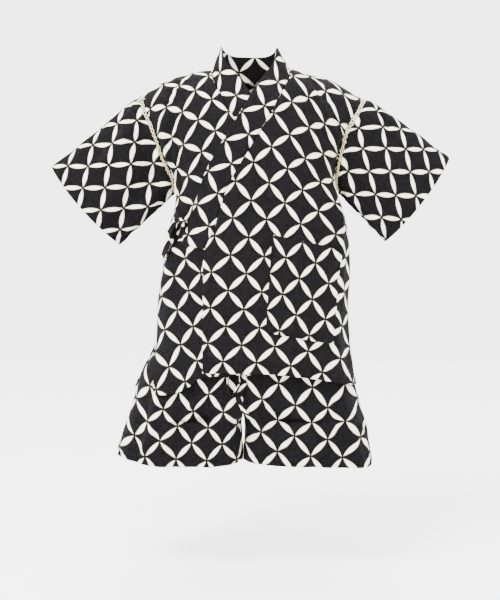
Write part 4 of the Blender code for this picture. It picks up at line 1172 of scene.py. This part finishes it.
SIDES = ((LEFT, "left"), (RIGHT, "right"))
SLEEVE_TURNS, SLEEVE_ROWS = 180, 84
SLEEVE_TAKEN_UP = 0.4  # how much of the folds' length the print follows
SHADE_BACKING_ROWS, SHADE_BACKING_DEPTH = 3, 0.0024  # the sleeve's edge carried on under the lacing: dark cloth put there as painted shade, for the shadow seen through the lacing's eyes
SLEEVE_PRINT = {  # turn, shift, stretch and lean
    LEFT: (51.9, (0.10, 0.75), (1.23, 1.27), 0.20),
    RIGHT: (46.3, (0.41, 0.48), (1.11, 1.24), 0.02),
}
theta = np.linspace(0, 2 * math.pi, SLEEVE_TURNS + 1)
for side, word in SIDES:
    _, start, length = lace_shares(theta, side)
    reach = start + (1 - start) * np.linspace(0, 1, SLEEVE_ROWS)[:, None]
    reach = np.concatenate([start * np.linspace(0, 0.92, SHADE_BACKING_ROWS)[:, None], reach])
    around_cuff = (np.sin(theta) * 0.12 + theta * ROUND)[None, :]
    lift = hem_relief((1 - reach) * length[None, :], around_cuff, CUFF_HEM, 61 + side)
    # These rows sink under the lacing, so that their dark cloth shows through its eyes as painted shade
    lift[:SHADE_BACKING_ROWS] -= SHADE_BACKING_DEPTH
    grid = sleeve(theta, reach, side, lift)
    grid[:, -1] = grid[:, 0]
    *place, lean = SLEEVE_PRINT[side]
    finish = printed_cotton(f"cotton_sleeve_{word}", *place)
    flat = leaning(sleeve_map(sleeve(theta, reach, side, folded=SLEEVE_TAKEN_UP), SHADE_BACKING_ROWS), lean)
    sleeve_piece = cloth_piece(f"sleeve_panel_{word}", grid, flat, finish, CLOTH, False, flip=side == RIGHT)
    dress(sleeve_piece, f"sleeve_{word}")
    outward = np.where((theta <= math.pi)[:, None], TO_FRONT, TO_BACK)
    sew(f"stitches_sleeve_{word}", [(*edge_line(grid, "bottom", CUFF_HEM - STITCH_IN), outward, 0.0)])


# Lacing between sleeves and body
# Cream cotton cord, two strands that cross and are laced through both edges, so that the seam stays open and
# dark eyes show between the strands; the dark in them is the sleeve's cloth laid under the lacing as painted
# shade. Here and there it ends in a knot with short tufts.

STRAND_RADIUS = 0.00080
STRANDS = 2
PLAIT_LENGTH = 0.0130  # along the seam, until a strand is back on its side
PLAIT_SWAY = 0.76  # how far a strand swings, as a share of the lacing's half width
PLAIT_HEIGHT = 0.0008
LACE_STEPS = 16  # points for one plait
SLANTED_UP = np.array([0.31, -0.83, 0.46])  # a direction that no strand runs along

# Side, theta, length, number of strands and spread of each tuft
TUFTS = (
    (RIGHT, 0.14, 0.0110, 9, 1.2),
    (RIGHT, 0.46, 0.0170, 11, 1.1),
    (RIGHT, 1.75, 0.0080, 6, 0.7),
    (LEFT, 0.40, 0.0110, 8, 1.1),
    (LEFT, 1.20, 0.0120, 8, 1.2),
    (LEFT, 1.60, 0.0110, 8, 1.0),
    (LEFT, 1.95, 0.0100, 6, 0.9),
    (RIGHT, 5.60, 0.0100, 8, 1.0),
    (LEFT, 5.50, 0.0100, 8, 1.0),
)

YELLOWED = (-0.135, -0.045)  # heights where the cord is wholly yellowed, and where it is still fresh
CORD_YELLOW = (0.60, 0.50, 0.25, 1)


def cord_material(name, colour, shade):
    """Matte cotton cord: fibres and their shadows as noise, yellowed towards the armpit."""
    made, tree, shader = new_finish(name)
    spot = add(tree, "ShaderNodeTexCoord").outputs["Object"]
    fibre = noise(tree, spot, 900.0, 3.0)
    cloud = noise(tree, spot, 120.0, 1.0)
    share = maths(tree, "MULTIPLY", ramp(tree, fibre, 0.35, 0.65), ramp(tree, cloud, 0.3, 0.7, 0.6, 1.0))
    height = add(tree, "ShaderNodeSeparateXYZ", {0: spot}).outputs[2]
    yellowed = blend(tree, ramp(tree, height, *YELLOWED), CORD_YELLOW, colour)
    tree.links.new(blend(tree, share, shade, yellowed), shader.inputs["Base Color"])
    tree.links.new(ramp(tree, fibre, 0.3, 0.7, 0.9, 0.75), shader.inputs["Roughness"])
    bumped(tree, shader, fibre, 0.6, 0.0004)
    shader.inputs["Specular IOR Level"].default_value = 0.10
    return made


def tube(path, radius, sides, closed):
    """Points and faces of a tube: a circle at each point of the path, in the plane square to the path."""
    if closed:
        tangent = unit(np.roll(path, -1, axis=0) - np.roll(path, 1, axis=0))
    else:
        tangent = unit(np.gradient(path, axis=0))
    side_way = unit(np.cross(tangent, SLANTED_UP))
    radius = np.broadcast_to(radius, len(path))[:, None, None]
    points = path[:, None] + circles(side_way, np.cross(side_way, tangent), sides) * radius
    return points.reshape(-1, 3), ring_faces(len(path), sides, "joined" if closed else "capped")


def tuft(centre, along, across, out, length, strands, spread, seed):
    """Short strands that start in a knot and fan out flat to both sides, with slight hooks at their ends."""
    draw = np.random.default_rng(seed)
    share = np.linspace(0, 1, 6)[:, None]
    parts = []
    for k in range(strands):
        angle = draw.uniform(-spread, spread) * 0.7 + (math.pi if k % 2 else 0.0)
        way = across * math.cos(angle) + along * math.sin(angle)
        hook = (along * draw.uniform(-1, 1) - out * 0.2) * 0.35
        reach = length * draw.uniform(0.6, 1.0) / 2
        path = centre + (way * share + hook * share**2 + out * 0.5 * share * (1 - share)) * reach
        parts.append(tube(path + out * STRAND_RADIUS, STRAND_RADIUS * (0.75 - 0.45 * share[:, 0]), 5, False))
    return parts


cream_cord = cord_material("cream_cord", (0.90, 0.87, 0.66, 1), (0.42, 0.35, 0.18, 1))
for side, word in SIDES:
    rough_theta = np.linspace(0, 2 * math.pi, 721)
    width, _, _ = lace_shares(rough_theta, side)
    middle = sleeve(rough_theta, np.full((1, 1), width / 2), side)[0]
    run = run_of(middle)
    plaits = round(run[-1] / PLAIT_LENGTH)
    theta = np.interp(np.linspace(0, run[-1], plaits * LACE_STEPS, endpoint=False), run, rough_theta)
    inner, outer = sleeve(theta, np.array([[0.0], [width]]), side)
    raised = sleeve(theta, np.full((1, 1), width / 2), side, 0.001)[0]
    centre, across = (inner + outer) / 2, (outer - inner) / 2
    normal = unit(raised - centre)
    phase = np.arange(len(theta)) / LACE_STEPS * 2 * math.pi
    parts = []
    for strand in range(STRANDS):
        turned = phase + 2 * math.pi * strand / STRANDS
        uneven = 1 + 0.22 * np.sin(phase * 0.37 + strand * 2.1)
        sway = (np.sin(turned) * uneven)[:, None] * across * PLAIT_SWAY
        raise_by = (np.sin(2 * turned) * PLAIT_HEIGHT - PLAIT_HEIGHT * 0.4)[:, None] * normal
        parts.append(tube(centre + sway + raise_by, STRAND_RADIUS, 7, True))
    for k, (tuft_side, at, *size) in enumerate(TUFTS):
        if tuft_side == side:
            i = int(np.argmin(np.abs(theta - at)))
            along = unit(centre[(i + 1) % len(theta)] - centre[i - 1])
            knot = centre[i] + normal[i] * PLAIT_HEIGHT
            parts += tuft(knot, along, unit(across[i]), normal[i], *size, 90 + k)
    lacing = joined(f"lacing_{word}", parts, cream_cord)
    dress(lacing, f"lace_{word}")


# Shorts
# Two legs of the same cotton, each one panel from the centre front round the outside to the centre back, sewn
# together from the waist to the crotch and hemmed at the bottom.

SHORTS_CENTRE = -0.0125
INNER_ROUNDNESS = 4.0
LEG = (
    ("z", "right", "left", "split", "front", "back"),
    (-0.3720, -0.1205, 0.0955, 0.00, 0.080, 0.078),
    (-0.4000, -0.1390, 0.1230, 0.00, 0.0850, 0.084),
    (-0.4300, -0.1480, 0.1500, 0.00, 0.0870, 0.089),
    (-0.4600, -0.1640, 0.1595, 0.00, 0.0880, 0.091),
    (-0.4900, -0.1785, 0.1650, 0.00, 0.0890, 0.093),
    (-0.5060, -0.1840, 0.1690, 0.10, 0.0890, 0.093),
    (-0.5200, -0.1880, 0.1730, 0.34, 0.0870, 0.092),
    (-0.5320, -0.1915, 0.1765, 0.60, 0.0835, 0.089),
    (-0.5420, -0.1945, 0.1790, 0.84, 0.0803, 0.0853),
    (-0.5500, -0.1975, 0.1815, 1.00, 0.0777, 0.0827),
    (-0.5800, -0.2080, 0.1885, 1.00, 0.0682, 0.0727),
    (-0.6170, -0.2180, 0.1940, 1.00, 0.0600, 0.063),
)
LEG_LEVELS = (0.372, 0.386, 0.400, 0.430, 0.460, 0.482, 0.498, 0.510, 0.521, 0.532, 0.542, 0.550, 0.566,
              0.584, 0.601, 0.617)
CROTCH_Z = -0.550
HEM_SWING = {LEFT: -0.013, RIGHT: 0.007}  # how far the outer side of each hem lies above its inner side
HEM_REACH = {LEFT: 1, RIGHT: 3}  # the higher, the closer to the outer side that swing stays
HEM_DIP = {LEFT: 0.0, RIGHT: 0.0075}  # how much deeper each hem hangs in the middle of the front
LEG_HEM = 0.018
LEG_TURNS = 181
PER_METRE = 6  # radians round a leg that count as one metre of height
PART_Z, PART_REACH, PART_HALF = -0.566, 0.024, 0.0026  # where the legs part most, and how far and wide

# Large folds of the legs: side, place round the leg and z of the start, the same of the end, width and depth
LEG_FOLDS = (
    (RIGHT, 2.60, -0.490, 2.45, -0.640, 0.24, 0.0040),
    (RIGHT, 1.75, -0.530, 1.85, -0.640, 0.23, -0.0036),
    (RIGHT, 0.95, -0.520, 1.00, -0.640, 0.24, 0.0030),
    (RIGHT, 4.00, -0.490, 4.15, -0.640, 0.27, 0.0042),
    (RIGHT, 5.10, -0.510, 5.20, -0.640, 0.27, -0.0036),
    (LEFT, 2.50, -0.490, 2.60, -0.640, 0.24, -0.0040),
    (LEFT, 1.70, -0.520, 1.60, -0.640, 0.23, 0.0036),
    (LEFT, 4.20, -0.490, 4.05, -0.640, 0.27, -0.0042),
    (LEFT, 5.20, -0.510, 5.05, -0.640, 0.27, 0.0036),
)

# Small creases of the legs, with the jacket's columns
LEG_CREASES = (
    (FRONT, -0.044, -0.486, -0.092, -0.534, 0.004, 0.0060, 0.0030),
    (FRONT, -0.036, -0.492, -0.080, -0.548, 0.004, 0.0060, -0.0030),
    (FRONT, -0.093, -0.478, -0.132, -0.524, 0.003, 0.0060, 0.0028),
    (FRONT, -0.110, -0.500, -0.160, -0.560, 0.004, 0.0070, -0.0024),
    (FRONT, -0.064, -0.540, -0.086, -0.600, 0.003, 0.0070, 0.0026),
    (FRONT, -0.140, -0.550, -0.170, -0.612, 0.003, 0.0080, 0.0028),
    (FRONT, 0.010, -0.486, 0.052, -0.540, -0.004, 0.0070, 0.0026),
    (FRONT, 0.016, -0.520, 0.040, -0.590, 0.004, 0.0070, -0.0026),
    (FRONT, 0.094, -0.500, 0.104, -0.600, 0.004, 0.0080, 0.0030),
    (FRONT, 0.130, -0.505, 0.152, -0.600, 0.003, 0.0070, -0.0028),
    (BACK, -0.050, -0.500, -0.090, -0.570, 0.004, 0.0070, 0.0028),
    (BACK, -0.130, -0.510, -0.160, -0.600, 0.004, 0.0080, -0.0028),
    (BACK, 0.020, -0.500, 0.060, -0.560, 0.004, 0.0070, -0.0028),
    (BACK, 0.110, -0.510, 0.130, -0.600, 0.004, 0.0080, 0.0028),
)

# Sharp tucks on the front: x and z of the start, x and z of the end, width and depth
TUCKS = (
    (-0.040, -0.478, -0.096, -0.534, 0.0065, 0.0056),
    (-0.090, -0.470, -0.134, -0.524, 0.0060, 0.0046),
    (-0.150, -0.560, -0.168, -0.616, 0.0080, 0.0030),
    (0.018, -0.500, 0.046, -0.560, 0.0070, -0.0026),
)


def leg(turn, z, side, lift=0.0, folded=1.0):
    """Outer face of a leg. turn runs from 0 at the centre front round the outside to 2 pi at the centre back.

    The section is the part of a superellipse that lies beyond the centre seam: half of it where the hips
    haven't split, and the whole where they have. Its inner half is squarer, so that the legs hang side by
    side, and a slit parts them below the crotch. The folds are placed by how far across the leg a point lies:
    0 at the centre front, pi at the outside and 2 pi at the centre back.
    """
    outer = read(LEG, "left" if side == LEFT else "right", z)
    split = read(LEG, "split", z)
    width = side * (outer - SHORTS_CENTRE) - SEAM / 2
    apart = split * width / 2
    half = width - apart
    widest = math.pi - np.arccos(np.clip((apart / half) ** (INNER_ROUNDNESS / 2), 0, 1))
    angle = (turn / math.pi - 1) * widest
    c, s = np.cos(angle), np.sin(angle)
    roundness = np.where(c < 0, INNER_ROUNDNESS, ROUNDNESS)
    depth = np.where(s < 0, read(LEG, "front", z), read(LEG, "back", z))
    height = np.zeros(np.broadcast(turn, z).shape)
    across = apart + half * power(c, 2 / roundness)
    plain_x = SHORTS_CENTRE + side * across
    place = np.clip(across / width, 0, 1) * math.pi
    place = np.where(s < 0, place, 2 * math.pi - place)
    for fold_side, round0, z0, round1, z1, wide, deep in LEG_FOLDS:
        if fold_side == side:
            height += fold(place, z * PER_METRE, round0, z0 * PER_METRE, round1, z1 * PER_METRE, wide, deep)
    for face, *row in LEG_CREASES:
        height += crease(plain_x, z, *row) * ease(face * s / 0.4)
    for row in TUCKS:
        height += fold(plain_x, z, *row) * ease(-s / 0.4)
    height *= ease((-0.480 - z) / 0.05) * ease((c + 0.55) / 0.5) * folded
    height = height + lift + rumple(plain_x + s * 0.1, z, 71 + side, 0.06, 0.0006) * ease((-0.500 - z) / 0.06)
    inner = ease((0.1 - c) / 0.5) * np.exp(-(((z - PART_Z) / PART_REACH) ** 2)) * PART_HALF
    x = apart + (half + height) * power(c, 2 / roundness) + inner
    y = (depth + height) * power(s, 2 / roundness)
    x = SHORTS_CENTRE + side * (SEAM / 2 + np.maximum(x, 0))
    return np.stack(np.broadcast_arrays(x, y, z), axis=-1)


def leg_grid(side):
    """Grid of a leg from the waist to the hem, and its flat map."""
    turn = np.linspace(0, 2 * math.pi, LEG_TURNS)[None, :]
    z = -finer(LEG_LEVELS, 7)[:, None]
    hem = np.clip((CROTCH_Z - z) / (CROTCH_Z - LEG[-1][0]), 0, 1) ** 1.5
    z = z + hem * HEM_SWING[side] * ((1 - np.cos(turn)) / 2) ** HEM_REACH[side]
    z = z - hem * HEM_DIP[side] * np.clip(np.sin(turn), 0, 1) ** 2
    grid = leg(turn, z, side, hem_relief(z - z[-1:], turn * ROUND, LEG_HEM, 81 + side))
    plain = leg(turn, z, side, folded=0.0)
    flat = cloth_map(plain, -crossing(plain, SHORTS_CENTRE + side * 0.06)[:, None])
    front = ease(-plain[..., 1] / 0.03)[..., None]
    shift = sum(drawn_in(plain[..., 0], plain[..., 2], *row) for row in TUCKS)
    return grid, flat + shift * front * np.array([side, 1.0])


LEG_PRINT = {  # turn, shift, stretch and lean
    LEFT: (54.3, (0.09, 0.04), (1.06, 0.92), 0.13),
    RIGHT: (44.4, (0.98, 0.62), (1.16, 0.96), 0.04),
}
for side, word in SIDES:
    grid, flat = leg_grid(side)
    *place, lean = LEG_PRINT[side]
    finish = printed_cotton(f"cotton_leg_{word}", *place)
    flat = leaning(flat, lean)
    leg_piece = cloth_piece(f"leg_panel_{word}", grid, flat, finish, CLOTH, outward=False, flip=side == LEFT)
    dress(leg_piece, f"leg_{word}")
    line, normal = edge_line(grid, "bottom", LEG_HEM - STITCH_IN)
    sew(f"stitches_leg_{word}", [(line, normal, line - line.mean(axis=0), 0.0)])


# Waistband
# The top of the shorts, folded over a wide elastic that gathers it all round. The jacket hides it from
# outside.

BAND_TOP = -0.344
BAND_BOTTOM = -0.3716
GATHERS = 18
GATHER_DEPTH, SMALL_GATHER = 0.0022, 0.0006
WAIST_COLUMNS, WAIST_ROWS = 361, 13
WAIST_TAKEN_UP = 1.1  # flat length of the casing, as a share of its gathered length
_, waist_right, waist_left, _, waist_front, waist_back = LEG[1]
angle = np.linspace(0, 2 * math.pi, WAIST_COLUMNS)[None, :]
waist_z = np.linspace(BAND_TOP, BAND_BOTTOM, WAIST_ROWS)[:, None]
casing = 1 - ((waist_z - (BAND_TOP + BAND_BOTTOM) / 2) / (BAND_TOP - BAND_BOTTOM) * 2) ** 4
small_wave = SMALL_GATHER * casing * np.cos(GATHERS * 3 * angle + np.sin(5 * angle))
wave = GATHER_DEPTH * np.cos(GATHERS * angle) + small_wave
half = (waist_left - waist_right) / 2 + wave
depth = np.where(np.sin(angle) < 0, waist_front, waist_back) + wave
waist_x = SHORTS_CENTRE + half * power(np.cos(angle), 2 / ROUNDNESS)
waist_y = depth * power(np.sin(angle), 2 / ROUNDNESS)
waist_grid = np.stack(np.broadcast_arrays(waist_x, waist_y, waist_z), axis=-1)
waist_grid[:, -1] = waist_grid[:, 0]
waist_round = run_of(waist_grid[0])
waist_flat = np.stack(np.broadcast_arrays(waist_round[None, :] * WAIST_TAKEN_UP, waist_z), axis=-1)
waist_finish = printed_cotton("cotton_waistband", 45, (0, 0))
waistband = cloth_piece("waistband_casing", waist_grid, waist_flat, waist_finish, BAND, False, flip=True)
dress(waistband, "waistband")


# Side ties
# Two narrow ties of the same cotton, one from the end of the collar band and one from the side seam, tied in
# a bow at the wearer's right waist.

TIE_WIDTH = 0.016
TIE_CLOTH = CLOTH * 0.8  # wall of a strip in a bow, where its turns lie close
TIE_KNOT_X = -0.0990
TIE_KNOT_DROP = 0.240
TIE_KNOT_SIZE = (0.013, 0.013, 0.016)
TIE_START = (-0.1070, 0.2425)  # where both loops leave the knot, as x and drop

# Node, x and drop of the tip, distance off the body, and half the gap between the two layers of each loop
TIE_LOOPS = (
    ("tie_loop_low", -0.1295, 0.2960, 0.0034, 0.0022),
    ("tie_loop_high", -0.1180, 0.2660, 0.0106, 0.0022),
)
TIE_FRONT = (
    ("drop", "x", "width"),
    (0.2440, -0.0995, 0.0060),
    (0.2520, -0.1020, 0.0075),
    (0.2600, -0.1055, 0.0075),
    (0.2680, -0.1085, 0.0070),
)
TIE_SIDE_HALF = 0.0050
KNOT_SHRINK = 0.84  # size of a rounded knot as a share of its cage
STRIP_CELLS = 8
TIE_LOOP_STEPS = 72
KNOT_RINGS, KNOT_SIDES, KNOT_GROOVES = 25, 48, 5


def ribbon(path, across, width, crumple=0.0):
    """Grid of a strip along a path. across holds its direction and width its size at each point.

    crumple draws the strip into small lengthwise pleats of that height, out of its own plane.
    """
    shares = np.linspace(-0.5, 0.5, STRIP_CELLS + 1)
    across = unit(across)
    normal = unit(np.cross(np.gradient(path, axis=0), across))
    run = np.linspace(0, 1, len(path))[:, None]
    pleat = np.sin(shares[None, :] * 9 + 1.3 * np.sin(run * 7)) + 0.6 * np.sin(shares[None, :] * 17 - run * 9)
    flat = path[:, None, :] + across[:, None, :] * (width[:, None, None] * shares[None, :, None])
    return flat + normal[:, None, :] * (crumple * pleat)[..., None]


def loop_widths(s, narrow, wide, flare):
    """Width of a loop's strip, from narrow at the knot to wide at the tip, by sin(s/2) to the power flare."""
    return narrow + (wide - narrow) * np.sin(s / 2) ** flare


def body_loop(tip, base, half_gap):
    """Closed ring of a bow's loop that hugs the body.

    s runs once round. The strip goes from the knot to the tip by (1 - cos s)/2, and it stands off the body
    by base plus half_gap times (1 + sin s).
    """
    s = np.linspace(0, 2 * math.pi, TIE_LOOP_STEPS + 1)
    share = (1 - np.cos(s)) / 2
    x, drop = (TIE_START[k] + (tip[k] - TIE_START[k]) * share for k in range(2))
    turn = turn_at(x, drop, FRONT)
    path = torso(turn, drop, FRONT, base + half_gap * (1 + np.sin(s)))
    whole_way = np.ptp(path, axis=0) * np.array([-1.0, 1.0, -1.0])
    across = np.cross(whole_way, torso_normal(turn, drop, FRONT))
    return ribbon(path, across, loop_widths(s, TIE_WIDTH * 0.3, TIE_WIDTH, 1.5), 0.0004)


def strip_map(grid):
    """Flat map of a strip: across its width and along its middle."""
    middle = grid[:, grid.shape[1] // 2]
    along = run_of(middle)
    width = np.linalg.norm(grid[:, -1] - grid[:, 0], axis=-1).max()
    return np.stack(np.meshgrid(np.linspace(0, width, grid.shape[1]), along), axis=-1)


def knot_piece(name, centre, size, finish):
    """A soft knot: an ellipsoid whose radius has grooves that wind round it like the turns of a strip."""
    polar = np.linspace(0.06, math.pi - 0.06, KNOT_RINGS)[:, None]
    angle = np.linspace(0, 2 * math.pi, KNOT_SIDES, endpoint=False)[None, :]
    wind = np.sin(KNOT_GROOVES * polar + angle + 0.5 * np.sin(2 * angle))
    radius = 1 + 0.10 * power(wind, 0.8) * np.sin(polar) + 0.05 * np.sin(3 * angle + 4 * polar)
    ball = np.sin(polar) * np.cos(angle), np.sin(polar) * np.sin(angle), np.cos(polar)
    ball = np.stack(np.broadcast_arrays(*ball), axis=-1) * radius[..., None]
    points = (np.array(centre) + ball * np.array(size) * KNOT_SHRINK / 2).reshape(-1, 3)
    made = smooth_piece(name, points, ring_faces(KNOT_RINGS, KNOT_SIDES, "capped"), finish)
    layer = made.data.uv_layers.new(name="cloth")
    corner = np.zeros(len(made.data.loops), dtype=int)
    made.data.loops.foreach_get("vertex_index", corner)
    flat = points[:, [0, 2]] * 1.4
    layer.data.foreach_set("uv", flat[corner].ravel())
    return made


tie_cotton = printed_cotton("cotton_tie", 20, (0.55, 0.30))
turn = turn_at(TIE_KNOT_X, TIE_KNOT_DROP, FRONT)
out = torso_normal(turn, TIE_KNOT_DROP, FRONT)
ground = torso(turn, np.float64(TIE_KNOT_DROP), FRONT, np.float64(2 * CLOTH + SEAM))
centre = ground + out * TIE_KNOT_SIZE[1] * KNOT_SHRINK / 2
tie_knot = knot_piece("side_tie_knot", centre, TIE_KNOT_SIZE, tie_cotton)
dress(tie_knot, "tie_knot")

for name, x, drop, base, half_gap in TIE_LOOPS:
    grid = body_loop((x, drop), base, half_gap)
    flat = strip_map(grid)
    loop = cloth_piece(f"side_{name}", grid, flat, tie_cotton, TIE_CLOTH, rows_closed=True)
    dress(loop, name)

drops = np.linspace(TIE_FRONT[1][0], TIE_FRONT[-1][0], 24)[:, None]
middles = read(TIE_FRONT, "x", drops)
widths = read(TIE_FRONT, "width", drops)
turns = turn_at(middles + widths * np.linspace(-0.5, 0.5, STRIP_CELLS + 1)[None, :], drops, FRONT)
grid = torso(turns, drops, FRONT, CLOTH + LAYER)
tie_front = cloth_piece("side_tie_from_collar", grid, strip_map(grid), tie_cotton, CLOTH, flip=True)
dress(tie_front, "tie_front")

turns = np.linspace(math.pi - 0.02, turn + 0.03, 60)[:, None]
drops = TIE_KNOT_DROP - 0.002 + np.linspace(-TIE_SIDE_HALF, TIE_SIDE_HALF, STRIP_CELLS + 1)[None, :]
grid = torso(turns, drops, FRONT, CLOTH + LAYER)
tie_side = cloth_piece("side_tie_from_seam", grid, strip_map(grid), tie_cotton, CLOTH)
dress(tie_side, "tie_side")


# Tie of the shorts
# A flat cotton tie sewn to the middle of the waistband, knotted into one loop and one twisted end that hang
# below the jacket's hem.

WAIST_KNOT_SIZE = (0.015, 0.009, 0.013)
WAIST_LOOP_TOP = (-0.0165, -0.0880, -0.3936)
WAIST_LOOP_TIP = (-0.0295, -0.0965, -0.5040)
WAIST_LOOP_HALF = 0.0120
WAIST_LOOP_STEPS, WAIST_END_STEPS = 96, 80

# x, distance in front of the shorts, and z of the twisted end's points
WAIST_END = (
    (-0.0090, 0.0020, -0.3922),
    (-0.0085, 0.0010, -0.4300),
    (-0.0095, 0.0008, -0.4650),
    (-0.0130, 0.0016, -0.4920),
    (-0.0195, 0.0036, -0.5090),
    (-0.0130, 0.0052, -0.5220),
    (-0.0080, 0.0060, -0.5330),
)


def spline(points, count):
    """A smooth curve through points: a Catmull-Rom curve over equal steps."""
    p = np.asarray(points, dtype=float)
    p = np.concatenate([[2 * p[0] - p[1]], p, [2 * p[-1] - p[-2]]])
    at = np.linspace(0, len(p) - 3, count)
    i = np.minimum(at.astype(int), len(p) - 4)
    t = (at - i)[:, None]
    a, b, c, d = p[i], p[i + 1], p[i + 2], p[i + 3]
    return 0.5 * (2 * b + (c - a) * t + (2 * a - 5 * b + 4 * c - d) * t**2 + (3 * b - a - 3 * c + d) * t**3)


def hanging_loop(start, end, half_gap):
    """Closed ring of a loop that hangs freely, open and broad only near its tip."""
    s = np.linspace(0, 2 * math.pi, WAIST_LOOP_STEPS + 1)
    share = (1 - np.cos(s)) / 2
    opening = half_gap * np.sin(s) * (0.4 + 0.6 * share)
    path = start + (end - start) * share[:, None] + np.array([1.0, 0.0, 0.0]) * opening[:, None]
    across = np.repeat(np.array([[0.25, -1.0, 0.0]]), len(s), axis=0)
    return ribbon(path, across, loop_widths(s, 0.0032, 0.0105, 9), 0.0005)


waist_cotton = printed_cotton("cotton_waist_tie", 45, (0.45, 0.10))
front = -read(LEG, "front", np.array([-0.385]))[0]
centre = (SHORTS_CENTRE, front - WAIST_KNOT_SIZE[1] * KNOT_SHRINK / 2 - 2 * SEAM, -0.3860)
waist_knot = knot_piece("waist_tie_knot_turns", centre, WAIST_KNOT_SIZE, waist_cotton)
dress(waist_knot, "waist_tie_knot")

grid = hanging_loop(np.array(WAIST_LOOP_TOP), np.array(WAIST_LOOP_TIP), WAIST_LOOP_HALF)
flat = strip_map(grid)
waist_loop = cloth_piece("waist_tie_open_loop", grid, flat, waist_cotton, TIE_CLOTH, rows_closed=True)
dress(waist_loop, "waist_tie_loop")

rows = spline(WAIST_END, WAIST_END_STEPS)
depth = read(LEG, "front", np.maximum(rows[:, 2], -0.500))
path = np.stack([rows[:, 0], -depth - rows[:, 1], rows[:, 2]], axis=-1)
lean = -0.5 * ease((-0.48 - rows[:, 2]) / 0.03)
across = np.stack([np.ones_like(lean), lean, np.zeros_like(lean)], axis=-1)
grid = ribbon(path, across, np.linspace(0.0070, 0.0095, WAIST_END_STEPS), 0.0004)
flat = strip_map(grid)
waist_end = cloth_piece("waist_tie_twisted_end", grid, flat, waist_cotton, TIE_CLOTH, flip=True)
dress(waist_end, "waist_tie_end")
